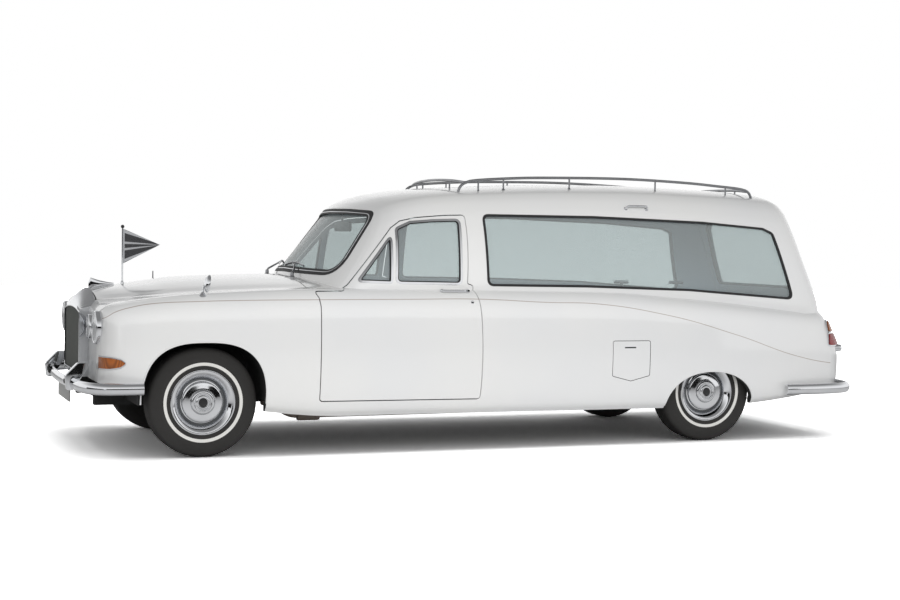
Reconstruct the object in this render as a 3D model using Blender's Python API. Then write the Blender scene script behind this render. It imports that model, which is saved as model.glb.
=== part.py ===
"""A stately white hearse on a long limousine chassis, in metres, Z up.

X runs towards the tail, Y towards the car's right side, and the origin is on the ground midway along
the car. Each body panel is cut from one hollow shell, so that neighbours meet at their real shut lines.

Tables of shares hold places. A place along the car is 0 at the front axle and 1 at the rear axle, -1 at
the foremost point and 2 at the rearmost. A place across it is a share of the half width, and a height
is a share of the body's height.
"""

import math

import bmesh
import bpy
from mathutils import Matrix, Vector

# Clearances
SEAT_GAP = 0.0003          # between pieces that rest on each other
SHUT_GAP = 0.0065          # round a door, the bonnet, the tailgate or a flap
OVERRUN = 0.3              # how far a cutter runs past what it cuts

# Overall sizes
WHEELBASE = 3.581
FRONT_OVERHANG = 0.830
REAR_OVERHANG = 1.269
FRONT_AXLE_X = -2.010
REAR_AXLE_X = FRONT_AXLE_X + WHEELBASE
BODY_HEIGHT = 1.800
TRACK = 1.473

# Wheels
TYRE_RADIUS = 0.345
TYRE_WIDTH = 0.205
RIM_RADIUS = 0.197
RIM_WIDTH = 0.165
WHEEL_Z = TYRE_RADIUS
TYRE_TO_SIDE = 0.139       # from a tyre's outer wall to the widest part of the body
HALF_WIDTH = TRACK / 2 + TYRE_WIDTH / 2 + TYRE_TO_SIDE
WHEEL_SEGMENTS = 20


def along(share):
    """The place x of a share along the car."""
    if share < 0:
        return FRONT_AXLE_X + share * FRONT_OVERHANG
    if share > 1:
        return REAR_AXLE_X + (share - 1) * REAR_OVERHANG
    return FRONT_AXLE_X + share * WHEELBASE


def across(share):
    """The place y of a share of the half width."""
    return share * HALF_WIDTH


def up(share):
    """The place z of a share of the body's height."""
    return share * BODY_HEIGHT


def side_view(shares):
    return [(along(a), up(b)) for a, b in shares]


def front_view(shares):
    return [(across(a), up(b)) for a, b in shares]


def plan_view(shares):
    return [(along(a), across(b)) for a, b in shares]


# Limits that cutters run out to
FRONT_LIMIT_X = along(-1) - OVERRUN
REAR_LIMIT_X = along(2) + OVERRUN
SIDE_LIMIT_Y = HALF_WIDTH + OVERRUN
TOP_LIMIT_Z = BODY_HEIGHT + OVERRUN
UNDER_LIMIT_Z = -OVERRUN
SPLIT_Y = SHUT_GAP / 2     # the left and right panels stop this far from the centre line
CABIN_SIDE_Y = across(0.31)

# Body walls
SIDE_WALL = 0.05
ROOF_WALL = 0.03
GLASS_INSET = 0.012
GLASS_THICK = 0.006
LAMP_PROUD = 0.010         # how far the corner lamps stand out of the body

# Lower body stations: along, sill height, half width, wing height, bonnet centre height, bonnet half width
LOWER_STATION_SHARES = (
    (-0.7651, 0.2611, 0.7618, 0.4944, 0.5250, 0.2761),
    (-0.7470, 0.2589, 0.8180, 0.5122, 0.5444, 0.2812),
    (-0.7108, 0.2556, 0.8691, 0.5267, 0.5622, 0.3067),
    (-0.6386, 0.2444, 0.9162, 0.5361, 0.5744, 0.4090),
    (-0.4940, 0.2333, 0.9509, 0.5467, 0.5856, 0.5521),
    (-0.2892, 0.2222, 0.9724, 0.5589, 0.5989, 0.6544),
    (0.0028, 0.1889, 0.9877, 0.5711, 0.6167, 0.7157),
    (0.1885, 0.1422, 0.9980, 0.5878, 0.6289, 0.7669),
    (0.3658, 0.1389, 1.0000, 0.5900, 0.6289, 0.7975),
    (0.7568, 0.1372, 0.9990, 0.5833, 0.6211, 0.7975),
    (0.8964, 0.1372, 0.9959, 0.5667, 0.6083, 0.7975),
    (1.0229, 0.1389, 0.9877, 0.5500, 0.5944, 0.7873),
    (1.2987, 0.1489, 0.9714, 0.5333, 0.5806, 0.7669),
    (1.5351, 0.1667, 0.9489, 0.5194, 0.5583, 0.7362),
    (1.6848, 0.1833, 0.9305, 0.5083, 0.5417, 0.7157),
)
# Side of the lower body: share of the half width, share of the height from sill to wing
SIDE_SHARES = (
    (0.925, 0.000), (0.962, 0.065), (0.988, 0.210), (1.000, 0.450), (0.995, 0.680),
    (0.985, 0.820), (0.960, 0.920), (0.915, 0.980), (0.870, 1.000),
)
# Top of the lower body: share of the bonnet's half width, share of the height from wing to bonnet centre
CROWN_SHARES = ((1.00, 0.06), (0.80, 0.42), (0.45, 0.82), (0.00, 1.00))

# Greenhouse stations: along at the waist and at the crown, half width, waist height, crown height
UPPER_STATION_SHARES = (
    (0.1891, 0.3033, 0.8180, 0.6056, 0.8844),
    (0.2052, 0.3239, 0.8569, 0.6056, 0.9094),
    (0.2402, 0.3658, 0.8875, 0.6056, 0.9372),
    (0.3211, 0.4496, 0.8957, 0.6056, 0.9622),
    (0.5613, 0.6451, 0.8967, 0.6044, 0.9872),
    (0.7288, 0.7707, 0.8967, 0.6000, 0.9950),
    (0.8824, 0.8908, 0.8957, 0.5889, 0.9983),
    (1.3381, 1.1962, 0.8814, 0.5622, 0.9906),
    (1.5351, 1.4011, 0.8691, 0.5528, 0.9822),
)
WAIST_Z = up(0.6056)
GREENHOUSE_FOOT = 0.10     # how far the greenhouse reaches down inside the lower body
GREENHOUSE_TUCK = 0.012    # how far the greenhouse's foot draws in from the tail
# Half section of the greenhouse: share of its half width, share of the height from waist to crown
UPPER_SHARES = (
    (1.000, 0.000), (0.974, 0.220), (0.930, 0.450), (0.880, 0.630), (0.836, 0.750),
    (0.770, 0.860), (0.670, 0.930), (0.420, 0.982), (0.000, 1.000),
)
SCREEN_BOW_SHARE = 0.34    # the windscreen corner's setback, as a share of its distance from the centre line
SCREEN_BOW_END_X = along(0.4775)

# Tail profile on the centre line: height, along
TAIL_SHARES = (
    (0.1111, 1.8818), (0.2778, 1.8818), (0.3611, 1.8700), (0.4722, 1.8030), (0.6556, 1.7084),
    (0.7222, 1.6769), (0.8333, 1.6336), (0.9167, 1.6020), (1.0000, 1.5587),
)
TAIL_ROUND = 0.20
TAIL_ROUND_TURNS = (66, 40, 14)        # in degrees
CROWN_DROP_SHARE = 0.4     # how far the crown falls for each metre that the side turns in
LEAN_START_X = along(0.8405)

# Door in the side view, and the half width of the body where its slanted rear edge was drawn
DOOR_FRONT_SHARES = (
    (0.2011, 0.1956), (0.2016, 0.5278), (0.1994, 0.5583), (0.1938, 0.5778), (0.2457, 0.5794),
    (0.2603, 0.6017), (0.3463, 0.8067), (0.3644, 0.8322), (0.3937, 0.8456), (0.4356, 0.8533),
)
DOOR_REAR_SHARES = (
    (0.4881, 0.8589, 0.7566), (0.4845, 0.6067, 0.8947), (0.4957, 0.6028, 0.8998),
    (0.5021, 0.5444, 0.9714), (0.5060, 0.4056, 0.9969), (0.5043, 0.1928, 0.9765),
)
DOOR_SLANT = math.tan(math.radians(19))
DOOR_CORNER_POINTS = 4     # the first points of the front edge bound the wing too
DOOR_IN_Y = across(0.56)
DOOR_OUT_Y = HALF_WIDTH + SIDE_WALL
DOOR_HINGE_HEIGHT_SHARES = (0.3333, 0.4222)
DOOR_HINGE_X = along(0.2013)
QUARTER_LIGHT_SHARES = ((0.2793, 0.6178), (0.3379, 0.6144), (0.3426, 0.7750))
DROP_GLASS_SHARES = (
    (0.3496, 0.6139), (0.4725, 0.6111), (0.4775, 0.8400), (0.4273, 0.8361), (0.3826, 0.8278), (0.3560, 0.8044),
)
DROP_GLASS_ROUND = 0.03
HANDLE_FRONT_X = along(0.4314)
HANDLE_REAR_X = along(0.4803)
HANDLE_Z = up(0.5844)
HANDLE_HEIGHT = 0.018
HANDLE_DEPTH = 0.024

# Other outlines in the side view
SIDE_WINDOW_SHARES = (
    (0.5264, 0.6028), (0.7288, 0.6000), (0.9495, 0.5878), (1.5374, 0.5539), (1.4374, 0.8156), (1.3743, 0.8339),
    (0.9925, 0.8533), (0.7568, 0.8656), (0.5264, 0.8639),
)
WINDOW_ROUND = 0.045
ROOF_SPLIT_Z = up(0.8889)
PILLAR_X = along(0.4957)
COWL_Z = up(0.5811)
COWL_FRONT_X = along(0.1815)
SILL_TOP_Z = up(0.1889)
SILL_STEP_X = along(0.3658)
FRONT_ARCH_SETBACK = 0.010             # the arch's centre lies this far ahead of the front axle
FRONT_ARCH_RADIUS = TYRE_RADIUS + 0.040
REAR_ARCH_SETBACK = 0.028
REAR_ARCH_Z = up(0.1389)
REAR_ARCH_HALF_LENGTH = TYRE_RADIUS + 0.008
REAR_ARCH_RISE = up(0.1389)
ARCH_STEPS = 12

# Outlines in the front and rear views, right half
SCREEN_SHARES = ((0.0000, 0.6472), (0.7157, 0.6389), (0.6135, 0.8622), (0.3067, 0.8700), (0.0000, 0.8722))
SCREEN_ROUND = 0.05
SCREEN_END_X = along(0.4217)
TAILGATE_SHARES = ((0.0000, 0.3222), (0.6646, 0.3222), (0.6339, 0.8556), (0.5726, 0.9111), (0.1227, 0.9194),
                       (0.0000, 0.9194))
TAILGATE_ROUND = 0.05
TAILGATE_FRONT_X = along(1.3381)
TAILGATE_TOP_Z = up(0.9194)
TAILGATE_HINGE_X = along(1.5926)
TAIL_WINDOW_SHARES = ((0.0000, 0.5889), (0.5982, 0.5889), (0.5726, 0.8333), (0.5266, 0.8667), (0.0000, 0.8750))
TAIL_PANEL_Y = across(0.6135)
TAIL_PANEL_TOP_Z = up(0.5000)
TAIL_PANEL_FRONT_X = along(1.6927)

# Bonnet in plan, right half: along, across
BONNET_SHARES = (
    (-0.7024, 0.0000), (-0.6976, 0.2761), (-0.6265, 0.4703), (-0.5422, 0.6339), (-0.4458, 0.7515), (-0.3133, 0.8231),
    (0.0307, 0.8569), (0.1648, 0.8691), (0.1815, 0.8487), (0.1885, 0.7873), (0.1885, 0.0000),
)
BONNET_FRONT_X = along(-0.7024)
BONNET_REAR_X = along(0.1885)
BONNET_FLOOR_Z = up(0.5000)
NOSE_HALF_WIDTH = across(0.5419)
NOSE_REAR_X = along(-0.6627)
NOSE_TOP_Z = up(0.6667)

# Hinge barrels, which lie in the shut gaps
BARREL_RADIUS = SHUT_GAP - SEAT_GAP
BARREL_LENGTH = 0.04
WIDE_BARREL_LENGTH = 0.12

# Side flap
FLAP_SHARES = ((0.7735, 0.3978), (0.7735, 0.2672), (0.8126, 0.2478), (0.8517, 0.2672), (0.8517, 0.3978))
FLAP_HINGE_Z = up(0.3333)
FLAP_HINGE_X = along(0.7735)
FLAP_THICK = 0.012
FLAP_POCKET = 0.024        # depth of the pocket behind a flap

# Grille: a loft from its front frame to the rear of its fluted dome
GRILLE_FRONT_X = along(-0.8373)
DOME_REAR_X = BONNET_FRONT_X - SHUT_GAP
GRILLE_BOTTOM_Z = up(0.2639)
DOME_SIDE_SHARES = ((0.3681, 0.5028), (0.3374, 0.5167))         # half width, shoulder height: front, rear
DOME_CENTRE_SHARES = (0.5194, 0.5733)                      # height at the front and at the rear
DOME_STEPS = 3
FLUTES = 22
FLUTE_DEPTH = 0.005
ARCH_POWER = 2.2           # of the arch over the slats: 2 would be an ellipse
GRILLE_FRAME = 0.026
SLAT_SETBACK = 0.006
SLAT_COUNT = 23
SLAT_DEPTH = 0.022
SLAT_BACK = 0.030

# Lamps on the nose: across, height, radius
LAMP_SHARES = ((0.7157, 0.4500), (0.4499, 0.4444))
LAMP_RADII = (0.105, 0.080)
LAMP_X = along(-0.7590)
# Half profile of a lamp: share of its radius, share of its depth
LAMP_PROFILE_SHARES = (
    (0.90, -0.40), (1.00, 0.00), (1.00, 0.42), (0.84, 0.65), (0.50, 0.88),
)
LAMP_DEPTH = 0.052
LAMP_SEGMENTS = 16
INDICATOR_SHARES = (
    (-0.7952, 0.3156), (-0.7952, 0.3500), (-0.7229, 0.3506), (-0.6446, 0.3400), (-0.6048, 0.3317),
    (-0.6446, 0.3244), (-0.7229, 0.3144),
)
INDICATOR_IN_Y = across(0.7515)
TAIL_LAMP_SHARES = (
    (1.7478, 0.3711), (1.9054, 0.3711), (1.9054, 0.4694), (1.7675, 0.4694), (1.7494, 0.4444),
)
TAIL_LAMP_IN_Y = across(0.7566)

# Bumpers: paths in plan, right half
FRONT_BAR_SHARES = (
    (-0.4735, 0.9877), (-0.6145, 0.9857), (-0.7470, 0.9663), (-0.8494, 0.8998), (-0.9096, 0.7771),
    (-0.9398, 0.5624), (-0.9578, 0.3067), (-0.9663, 0.0000),
)
REAR_BAR_SHARES = (
    (1.4523, 0.9877), (1.5745, 0.9877), (1.7321, 0.9765), (1.8503, 0.9356), (1.9291, 0.8384),
    (1.9645, 0.6135), (1.9779, 0.3067), (1.9827, 0.0000),
)
FRONT_BAR_Z = up(0.2528)
REAR_BAR_Z = up(0.2011)
BAR_DEPTH = 0.028
BAR_HEIGHT = 0.090
REAR_BAR_HEIGHT = 0.076
# Section of a bumper: share of its half depth, share of its half height
BAR_SECTION_SHARES = ((-1.0, -1.0), (0.3, -0.9), (1.0, 0.0), (0.3, 0.9), (-1.0, 1.0))
BAR_SPAN_STEPS = 2
FRONT_GUARD_SHARES = ((-0.9904, 0.2289), (-0.9398, 0.2289), (-0.8072, 0.3189), (-0.8855, 0.3200), (-1.0000, 0.2778))
REAR_GUARD_SHARES = ((1.9968, 0.1833), (1.9685, 0.1833), (1.9370, 0.2722), (1.9645, 0.2722), (2.0000, 0.2333))
FRONT_GUARD_Y = across(0.5112)
REAR_GUARD_Y = across(0.4601)
GUARD_WIDTH = 0.054
IRON_WIDTH = 0.05
IRON_Y = across(0.4039)
IRON_HEIGHT = 0.03
PLATE_WIDTH = 0.52
PLATE_THICK = 0.012
PLATE_TOP_Z = up(0.2333)
PLATE_BOTTOM_Z = up(0.1622)
PLATE_X = along(-0.9398)

# Floor and frame
FLOOR_Z = up(0.1433)
FLOOR_THICK = 0.030
FLOOR_FRONT_X = along(0.2025)
FLOOR_STEP_X = along(0.8629)
FLOOR_REAR_X = along(1.6927)
FLOOR_HALF_WIDTH = across(0.9202)
REAR_FLOOR_HALF_WIDTH = across(0.8589)
AXLE_TRAVEL = 0.115
AXLE_RADIUS = 0.040
REAR_FLOOR_Z = WHEEL_Z + AXLE_RADIUS + AXLE_TRAVEL
NOTCH_REACH = 0.075        # from the tyre to the ends of its notch in the floor
NOTCH_IN_Y = TRACK / 2 - TYRE_WIDTH / 2 - NOTCH_REACH
WALL_REAR_X = along(0.1913)
WALL_THICK = 0.020
WALL_TOP_Z = up(0.4778)
WALL_HALF_WIDTH = across(0.8180)
RAIL_FRONT_X = along(-0.7349)
RAIL_WIDTH = 0.070
RAIL_HEIGHT = 0.140
RAIL_DROP = 0.045          # the frame rails' underside lies this far below the wheel centres
RAIL_Z = WHEEL_Z - RAIL_DROP

# Front suspension
KINGPIN_INSET = 0.0965     # from the wheel's centre plane to the kingpin
KINGPIN_Y = TRACK / 2 - KINGPIN_INSET
KNUCKLE_INSET = 0.040
KNUCKLE_LENGTH = 0.100
KNUCKLE_DROP = 0.100
KNUCKLE_RISE = 0.120
MEMBER_LENGTH = 0.120
MEMBER_DROP = 0.105
MEMBER_INSET = 0.080
YOKE_LENGTH = 0.080
YOKE_DROP = 0.130
YOKE_START_INSET = 0.120
YOKE_END_INSET = 0.025

# Rear suspension
SPRING_INSET = 0.2765
SPRING_WIDTH = 0.060
SPRING_RISE = 0.030
SPRING_THICK = 0.020
SPRING_FRONT = 0.450
SPRING_REAR = 0.550
HANGER_LENGTH = 0.040

# Exhaust
PIPE_RADIUS = 0.0225
PIPE_Y = across(-0.6339)
PIPE_FRONT_X = along(0.1145)
PIPE_REAR_X = along(0.8489)
SILENCER_RADIUS = 0.034
SILENCER_FRONT_X = along(0.1648)
SILENCER_REAR_X = along(0.2290)

# Engine
ENGINE_FRONT_X = along(-0.4940)
ENGINE_REAR_X = along(0.1424)
ENGINE_SHARES = (
    (0.0000, 0.1889), (0.1329, 0.1889), (0.1534, 0.2667), (0.2556, 0.3889), (0.2352, 0.4389), (0.1431, 0.4611), (0.0000, 0.4611),
)
MOUNT_X = along(0.0028)
MOUNT_LENGTH = 0.100
MOUNT_IN_Y = across(0.1022)
AIR_CLEANER_X = along(0.0168)
AIR_CLEANER_RADIUS = 0.170
AIR_CLEANER_TOP_Z = up(0.5000)

# Cabin
CUSHION_FRONT_X = along(0.2765)
CUSHION_REAR_X = along(0.4217)
CUSHION_TOP_Z = up(0.3444)
CUSHION_HALF_WIDTH = across(0.7362)
SEAT_BACK_SHARES = ((0.4608, 0.1606), (0.4775, 0.6111), (0.4552, 0.6111), (0.4217, 0.3500))
SEAT_BACK_HALF_WIDTH = across(0.7566)
DASH_SHARES = ((0.2541, 0.4111), (0.2541, 0.5000), (0.2402, 0.5444), (0.2206, 0.5444))
DASH_HALF_WIDTH = across(0.7975)
STEERING_RADIUS = 0.185
STEERING_GRIP = 0.011
STEERING_TILT = 26         # degrees from upright
STEERING_X = along(0.3100)
STEERING_Y = across(-0.4090)
STEERING_Z = up(0.5000)
SPOKE_WIDTH = 0.028
COLUMN_RADIUS = 0.028
COLUMN_LENGTH = 0.260

# Deck of the load bay
DECK_FRONT_X = along(0.4803)
DECK_REAR_X = along(1.4641)
DECK_HALF_WIDTH = across(0.8078)
DECK_TOP_Z = up(0.5556)
DECK_THICK = 0.035
DECK_LEG_SHARES = (0.4859, 0.8266, 1.4011)
LEG_THICK = 0.030
LEG_HALF_WIDTH = across(0.5521)
BIER_PIN_SHARES = (0.9271, 1.1568)
BIER_PIN_RADIUS = 0.014
BIER_PIN_HEIGHT = 0.090
BIER_PIN_BAR = 0.110

# Roof rail: along, height
RAIL_SHARES = (
    (0.4985, 0.9444), (0.5040, 0.9694), (0.5152, 0.9844), (0.5334, 0.9933), (0.5892, 1.0028), (0.6730, 1.0111),
    (0.8405, 1.0167), (0.9802, 1.0094), (1.1805, 0.9989), (1.3144, 0.9911), (1.3696, 0.9789), (1.3932, 0.9500),
)
TRAY_RAIL_Y = across(0.5624)
TRAY_RAIL_RADIUS = 0.010
TRAY_POST_RADIUS = 0.007
TRAY_POST_SHARES = ((0.5404, 0.9944), (0.5920, 1.0033), (0.7305, 1.0133), (0.9182, 1.0133), (1.2199, 0.9972))
TRAY_POST_DEPTH = 0.085
# Each bowed cross rail: along at its ends, height at its ends, along at its middle, height at its middle
CROSS_RAIL_SHARES = ((0.5152, 0.9844, 0.5013, 1.0000), (1.3617, 0.9811, 1.3972, 0.9917))
CROSS_POST_Y = across(0.3374)

# Pieces on the bonnet
ORNAMENT_SHARES = (
    (-0.6928, 0.5500), (-0.5301, 0.5500), (-0.5120, 0.5900), (-0.5904, 0.5922), (-0.6964, 0.6094), (-0.7108, 0.5900),
)
ORNAMENT_WIDTH = 0.024
MAST_X = along(-0.4458)
MAST_TOP_Z = up(0.7956)
MAST_RADIUS = 0.004
BALL_RADIUS = 0.009
MAST_FOOT_RADIUS = 0.013
MAST_FOOT_HEIGHT = 0.020
MAST_SUNK = 0.020          # the mast is cut off where it meets the bonnet
PENNANT_SHARES = ((-0.4458, 0.6611), (-0.1446, 0.7317), (-0.4458, 0.7889))
PENNANT_THICK = 0.003

# Wing mirror on the left side
MIRROR_X = along(-0.0289)
MIRROR_Y = across(-0.9202)
MIRROR_Z = up(0.6100)
MIRROR_FOOT_Z = up(0.5444)
MIRROR_STALK_RADIUS = 0.007
MIRROR_HALF_WIDTH = 0.060
MIRROR_HALF_HEIGHT = 0.036
MIRROR_DEPTH = 0.036
MIRROR_LEAN = 0.018
# Profile of the mirror's shell: share of its half sizes, share of its depth
MIRROR_SHARES = ((0.45, 0.00), (0.80, 0.25), (1.00, 0.70), (1.00, 1.00))

# Turned wheel: share of the rim's radius, share of half the rim's width
WHEEL_SHARES = (
    (0.000, -0.909), (0.711, -0.873), (1.000, -0.994), (1.000, 0.994), (0.904, 0.970), (0.838, 0.727),
    (0.772, 0.800), (0.508, 1.091), (0.228, 1.164), (0.000, 1.164),
)
# Tyre wall: share of the height from rim to tread, share of half the tyre's width
TYRE_SHARES = ((0.000, 0.780), (0.140, 0.905), (0.527, 1.000), (0.880, 0.920), (1.000, 0.600))
HUB_FACE_SHARE = 0.909     # place of the wheel's inner face, as a share of half the rim's width
HUB_FACE_Y = TRACK / 2 - HUB_FACE_SHARE * RIM_WIDTH / 2

SIDES = (("left", -1), ("right", 1))

# Materials: colour, roughness, metallic
FINISHES = {
    "paint": ((0.86, 0.86, 0.85, 1), 0.25, 0.0),
    "chrome": ((0.75, 0.76, 0.78, 1), 0.08, 1.0),
    "glass": ((0.62, 0.70, 0.69, 0.35), 0.04, 0.0),
    "rubber": ((0.02, 0.02, 0.02, 1), 0.7, 0.0),
    "dark": ((0.05, 0.05, 0.05, 1), 0.6, 0.2),
    "amber": ((0.75, 0.24, 0.02, 1), 0.2, 0.0),
    "red": ((0.45, 0.02, 0.02, 1), 0.2, 0.0),
    "lamp": ((0.85, 0.87, 0.88, 1), 0.1, 0.3),
    "leather": ((0.12, 0.12, 0.13, 1), 0.5, 0.0),
    "trim": ((0.55, 0.56, 0.58, 1), 0.6, 0.0),
    "deck": ((0.10, 0.09, 0.085, 1), 0.4, 0.0),
    "cloth": ((0.04, 0.04, 0.045, 1), 0.8, 0.0),
}


def finish(name):
    """The named material, made on its first use."""
    found = bpy.data.materials.get(name)
    if found:
        return found
    colour, roughness, metallic = FINISHES[name]
    made = bpy.data.materials.new(name)
    made.use_nodes = True
    shader = made.node_tree.nodes["Principled BSDF"]
    shader.inputs["Base Color"].default_value = colour
    shader.inputs["Roughness"].default_value = roughness
    shader.inputs["Metallic"].default_value = metallic
    shader.inputs["Alpha"].default_value = colour[3]
    return made


# Shapes and how they are combined


def make(name, points, faces, material="paint"):
    """A mesh object from points and faces, with its faces pointing out."""
    mesh = bpy.data.meshes.new(name)
    mesh.from_pydata([tuple(p) for p in points], [], faces)
    shape = bmesh.new()
    shape.from_mesh(mesh)
    bmesh.ops.remove_doubles(shape, verts=shape.verts, dist=1e-6)
    bmesh.ops.recalc_face_normals(shape, faces=shape.faces)
    shape.to_mesh(mesh)
    shape.free()
    made = bpy.data.objects.new(name, mesh)
    mesh.materials.append(finish(material))
    bpy.context.scene.collection.objects.link(made)
    return made


def discard(shape):
    mesh = shape.data
    bpy.data.objects.remove(shape)
    if mesh.users == 0:
        bpy.data.meshes.remove(mesh)


def copy_of(shape, name, material=None):
    made = shape.copy()
    made.data = shape.data.copy()
    made.name = name
    if material:
        made.data.materials.clear()
        made.data.materials.append(finish(material))
    bpy.context.scene.collection.objects.link(made)
    return made


def combine(base, others, operation="DIFFERENCE", keep=False):
    """Applies an exact Boolean of base with each of the others, and removes the others unless keep is set."""
    for other in others:
        modifier = base.modifiers.new(operation, "BOOLEAN")
        modifier.operation = operation
        modifier.solver = "EXACT"
        modifier.object = other
    graph = bpy.context.evaluated_depsgraph_get()
    mesh = bpy.data.meshes.new_from_object(base.evaluated_get(graph))
    base.modifiers.clear()
    old = base.data
    base.data = mesh
    bpy.data.meshes.remove(old)
    if not keep:
        for other in others:
            discard(other)
    return base


def joined(base, *others):
    """Fuses further shapes onto the first."""
    return combine(base, list(others), "UNION")


def common(base, other):
    """Keeps what two shapes share."""
    return combine(base, [other], "INTERSECT")


def keep_outer(shape, way):
    """Of the bodies a cut left in a piece, keeps the one that reaches farthest in a direction."""
    work = bmesh.new()
    work.from_mesh(shape.data)
    start = max(work.verts, key=lambda v: v.co.dot(Vector(way)))
    found, queue = {start}, [start]
    while queue:
        for edge in queue.pop().link_edges:
            for vert in edge.verts:
                if vert not in found:
                    found.add(vert)
                    queue.append(vert)
    bmesh.ops.delete(work, geom=[v for v in work.verts if v not in found], context="VERTS")
    work.to_mesh(shape.data)
    work.free()
    return shape


def seated(shape, carriers, away=(0, 0, 1)):
    """Cuts a piece to the shape of what carries it, and leaves the seat gap between them."""
    combine(shape, [copy_of(carrier, "carrier") for carrier in carriers])
    keep_outer(shape, away)
    shape.data.transform(Matrix.Translation(SEAT_GAP * Vector(away)))
    return shape


def smooth(shape, angle=35):
    """Shades a piece smooth, apart from edges sharper than the angle."""
    shape.data.shade_smooth()
    shape.data.set_sharp_from_angle(angle=math.radians(angle))
    return shape


def span(sign, near, far):
    """The limits of y between two distances from the centre line on one side, in rising order."""
    return sorted((sign * near, sign * far))


def bridged(name, rings, material="paint", caps=True):
    """A solid whose skin joins a row of closed rings that have the same number of points."""
    count = len(rings[0])
    points = [p for ring in rings for p in ring]
    faces = []
    for i in range(len(rings) - 1):
        for j in range(count):
            k = (j + 1) % count
            faces.append((i * count + j, i * count + k, (i + 1) * count + k, (i + 1) * count + j))
    if caps:
        faces.append(tuple(range(count)))
        faces.append(tuple((len(rings) - 1) * count + j for j in range(count)))
    return make(name, points, faces, material)


def prism(name, outline, low, high, along_axis="Y", material="paint", far_outline=None):
    """An outline carried from low to high along an axis. The outline's pairs are the other two axes in order.

    With far_outline, the high end has that outline and the sides slant between the two."""
    places = {"X": lambda a, b, t: (t, a, b), "Y": lambda a, b, t: (a, t, b), "Z": lambda a, b, t: (a, b, t)}
    place = places[along_axis]
    rings = [[place(a, b, low) for a, b in outline], [place(a, b, high) for a, b in far_outline or outline]]
    return bridged(name, rings, material)


def box(name, low, high, material="paint"):
    outline = ((low[0], low[2]), (high[0], low[2]), (high[0], high[2]), (low[0], high[2]))
    return prism(name, outline, low[1], high[1], "Y", material)


def turned(name, profile, centre, axis="Y", segments=WHEEL_SEGMENTS, material="paint", sign=1):
    """A profile of (radius, place along the axis) turned about an axis through centre. sign mirrors the axis.

    A profile that starts and ends at radius zero makes a solid, and any other is closed into a ring."""
    rings = []
    for i in range(segments):
        angle = 2 * math.pi * i / segments
        c, s = math.cos(angle), math.sin(angle)
        if axis == "Y":
            rings.append([(centre[0] + r * c, centre[1] + sign * t, centre[2] + r * s) for r, t in profile])
        elif axis == "X":
            rings.append([(centre[0] + sign * t, centre[1] + r * c, centre[2] + r * s) for r, t in profile])
        else:
            rings.append([(centre[0] + r * c, centre[1] + r * s, centre[2] + sign * t) for r, t in profile])
    solid = profile[0][0] == 0
    points = [p for ring in rings for p in ring]
    count = len(profile)
    faces = []
    for i in range(segments):
        here, after = i * count, (i + 1) % segments * count
        for j in range(count - 1 if solid else count):
            k = (j + 1) % count
            if profile[j][0] == 0:
                faces.append((here, here + k, after + k))
            elif profile[k][0] == 0:
                faces.append((here + j, here + k, after + j))
            else:
                faces.append((here + j, here + k, after + k, after + j))
    return smooth(make(name, points, faces, material))


def rod(name, start, end, radius, material="chrome", sides=8):
    """A straight round bar."""
    start, end = Vector(start), Vector(end)
    way = (end - start).normalized()
    across_way = way.orthogonal().normalized()
    other = way.cross(across_way)
    turns = [2 * math.pi * i / sides for i in range(sides)]
    rings = [[place + radius * (math.cos(a) * across_way + math.sin(a) * other) for a in turns]
             for place in (start, end)]
    return bridged(name, rings, material)


def swept(name, path, section, material="chrome", rise_axis=(0, 0, 1)):
    """A section of (outward, upward) pairs carried along a path."""
    rings = []
    path = [Vector(p) for p in path]
    for i, place in enumerate(path):
        way = (path[min(i + 1, len(path) - 1)] - path[max(i - 1, 0)]).normalized()
        out = way.cross(Vector(rise_axis)).normalized()
        rise = out.cross(way).normalized()
        rings.append([place + a * out + b * rise for a, b in section])
    return bridged(name, rings, material)


def circle(radius, sides=6):
    turns = [2 * math.pi * i / sides for i in range(sides)]
    return [(radius * math.cos(a), radius * math.sin(a)) for a in turns]


def smooth_path(points, per_span):
    """Points on a Catmull-Rom curve through the given ones."""
    points = [Vector(p) for p in points]
    ends = [2 * points[0] - points[1]] + points + [2 * points[-1] - points[-2]]
    found = []
    for a, b, c, d in zip(ends, ends[1:], ends[2:], ends[3:]):
        for i in range(per_span):
            t = i / per_span
            found.append(0.5 * (2 * b + (c - a) * t + (2 * a - 5 * b + 4 * c - d) * t * t
                                + (3 * b - a - 3 * c + d) * t ** 3))
    return found + [points[-1]]


def grown(outline, distance):
    """A closed outline moved outwards by a distance, or inwards where it is negative, with mitred corners."""
    points = [Vector(p) for p in outline]
    area = sum(a.x * b.y - b.x * a.y for a, b in zip(points, points[1:] + points[:1]))
    turn = 1 if area > 0 else -1
    made = []
    for i, here in enumerate(points):
        before = (here - points[i - 1]).normalized()
        after = (points[(i + 1) % len(points)] - here).normalized()
        n1 = turn * Vector((before.y, -before.x))
        n2 = turn * Vector((after.y, -after.x))
        middle = (n1 + n2).normalized()
        made.append(tuple(here + middle * (distance / max(0.35, middle.dot(n1)))))
    return made


def rounded(outline, radius, steps=2):
    """A closed outline with each sharp corner cut to an arc."""
    points = [Vector(p) for p in outline]
    made = []
    for i, here in enumerate(points):
        before = points[i - 1] - here
        after = points[(i + 1) % len(points)] - here
        angle = before.angle(after)
        if angle > math.radians(160):
            made.append(tuple(here))
            continue
        reach = min(radius / math.tan(angle / 2), 0.45 * before.length, 0.45 * after.length)
        start = here + before.normalized() * reach
        end = here + after.normalized() * reach
        for k in range(steps + 1):
            t = k / steps
            made.append(tuple((1 - t) ** 2 * start + 2 * t * (1 - t) * here + t * t * end))
    return made


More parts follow.
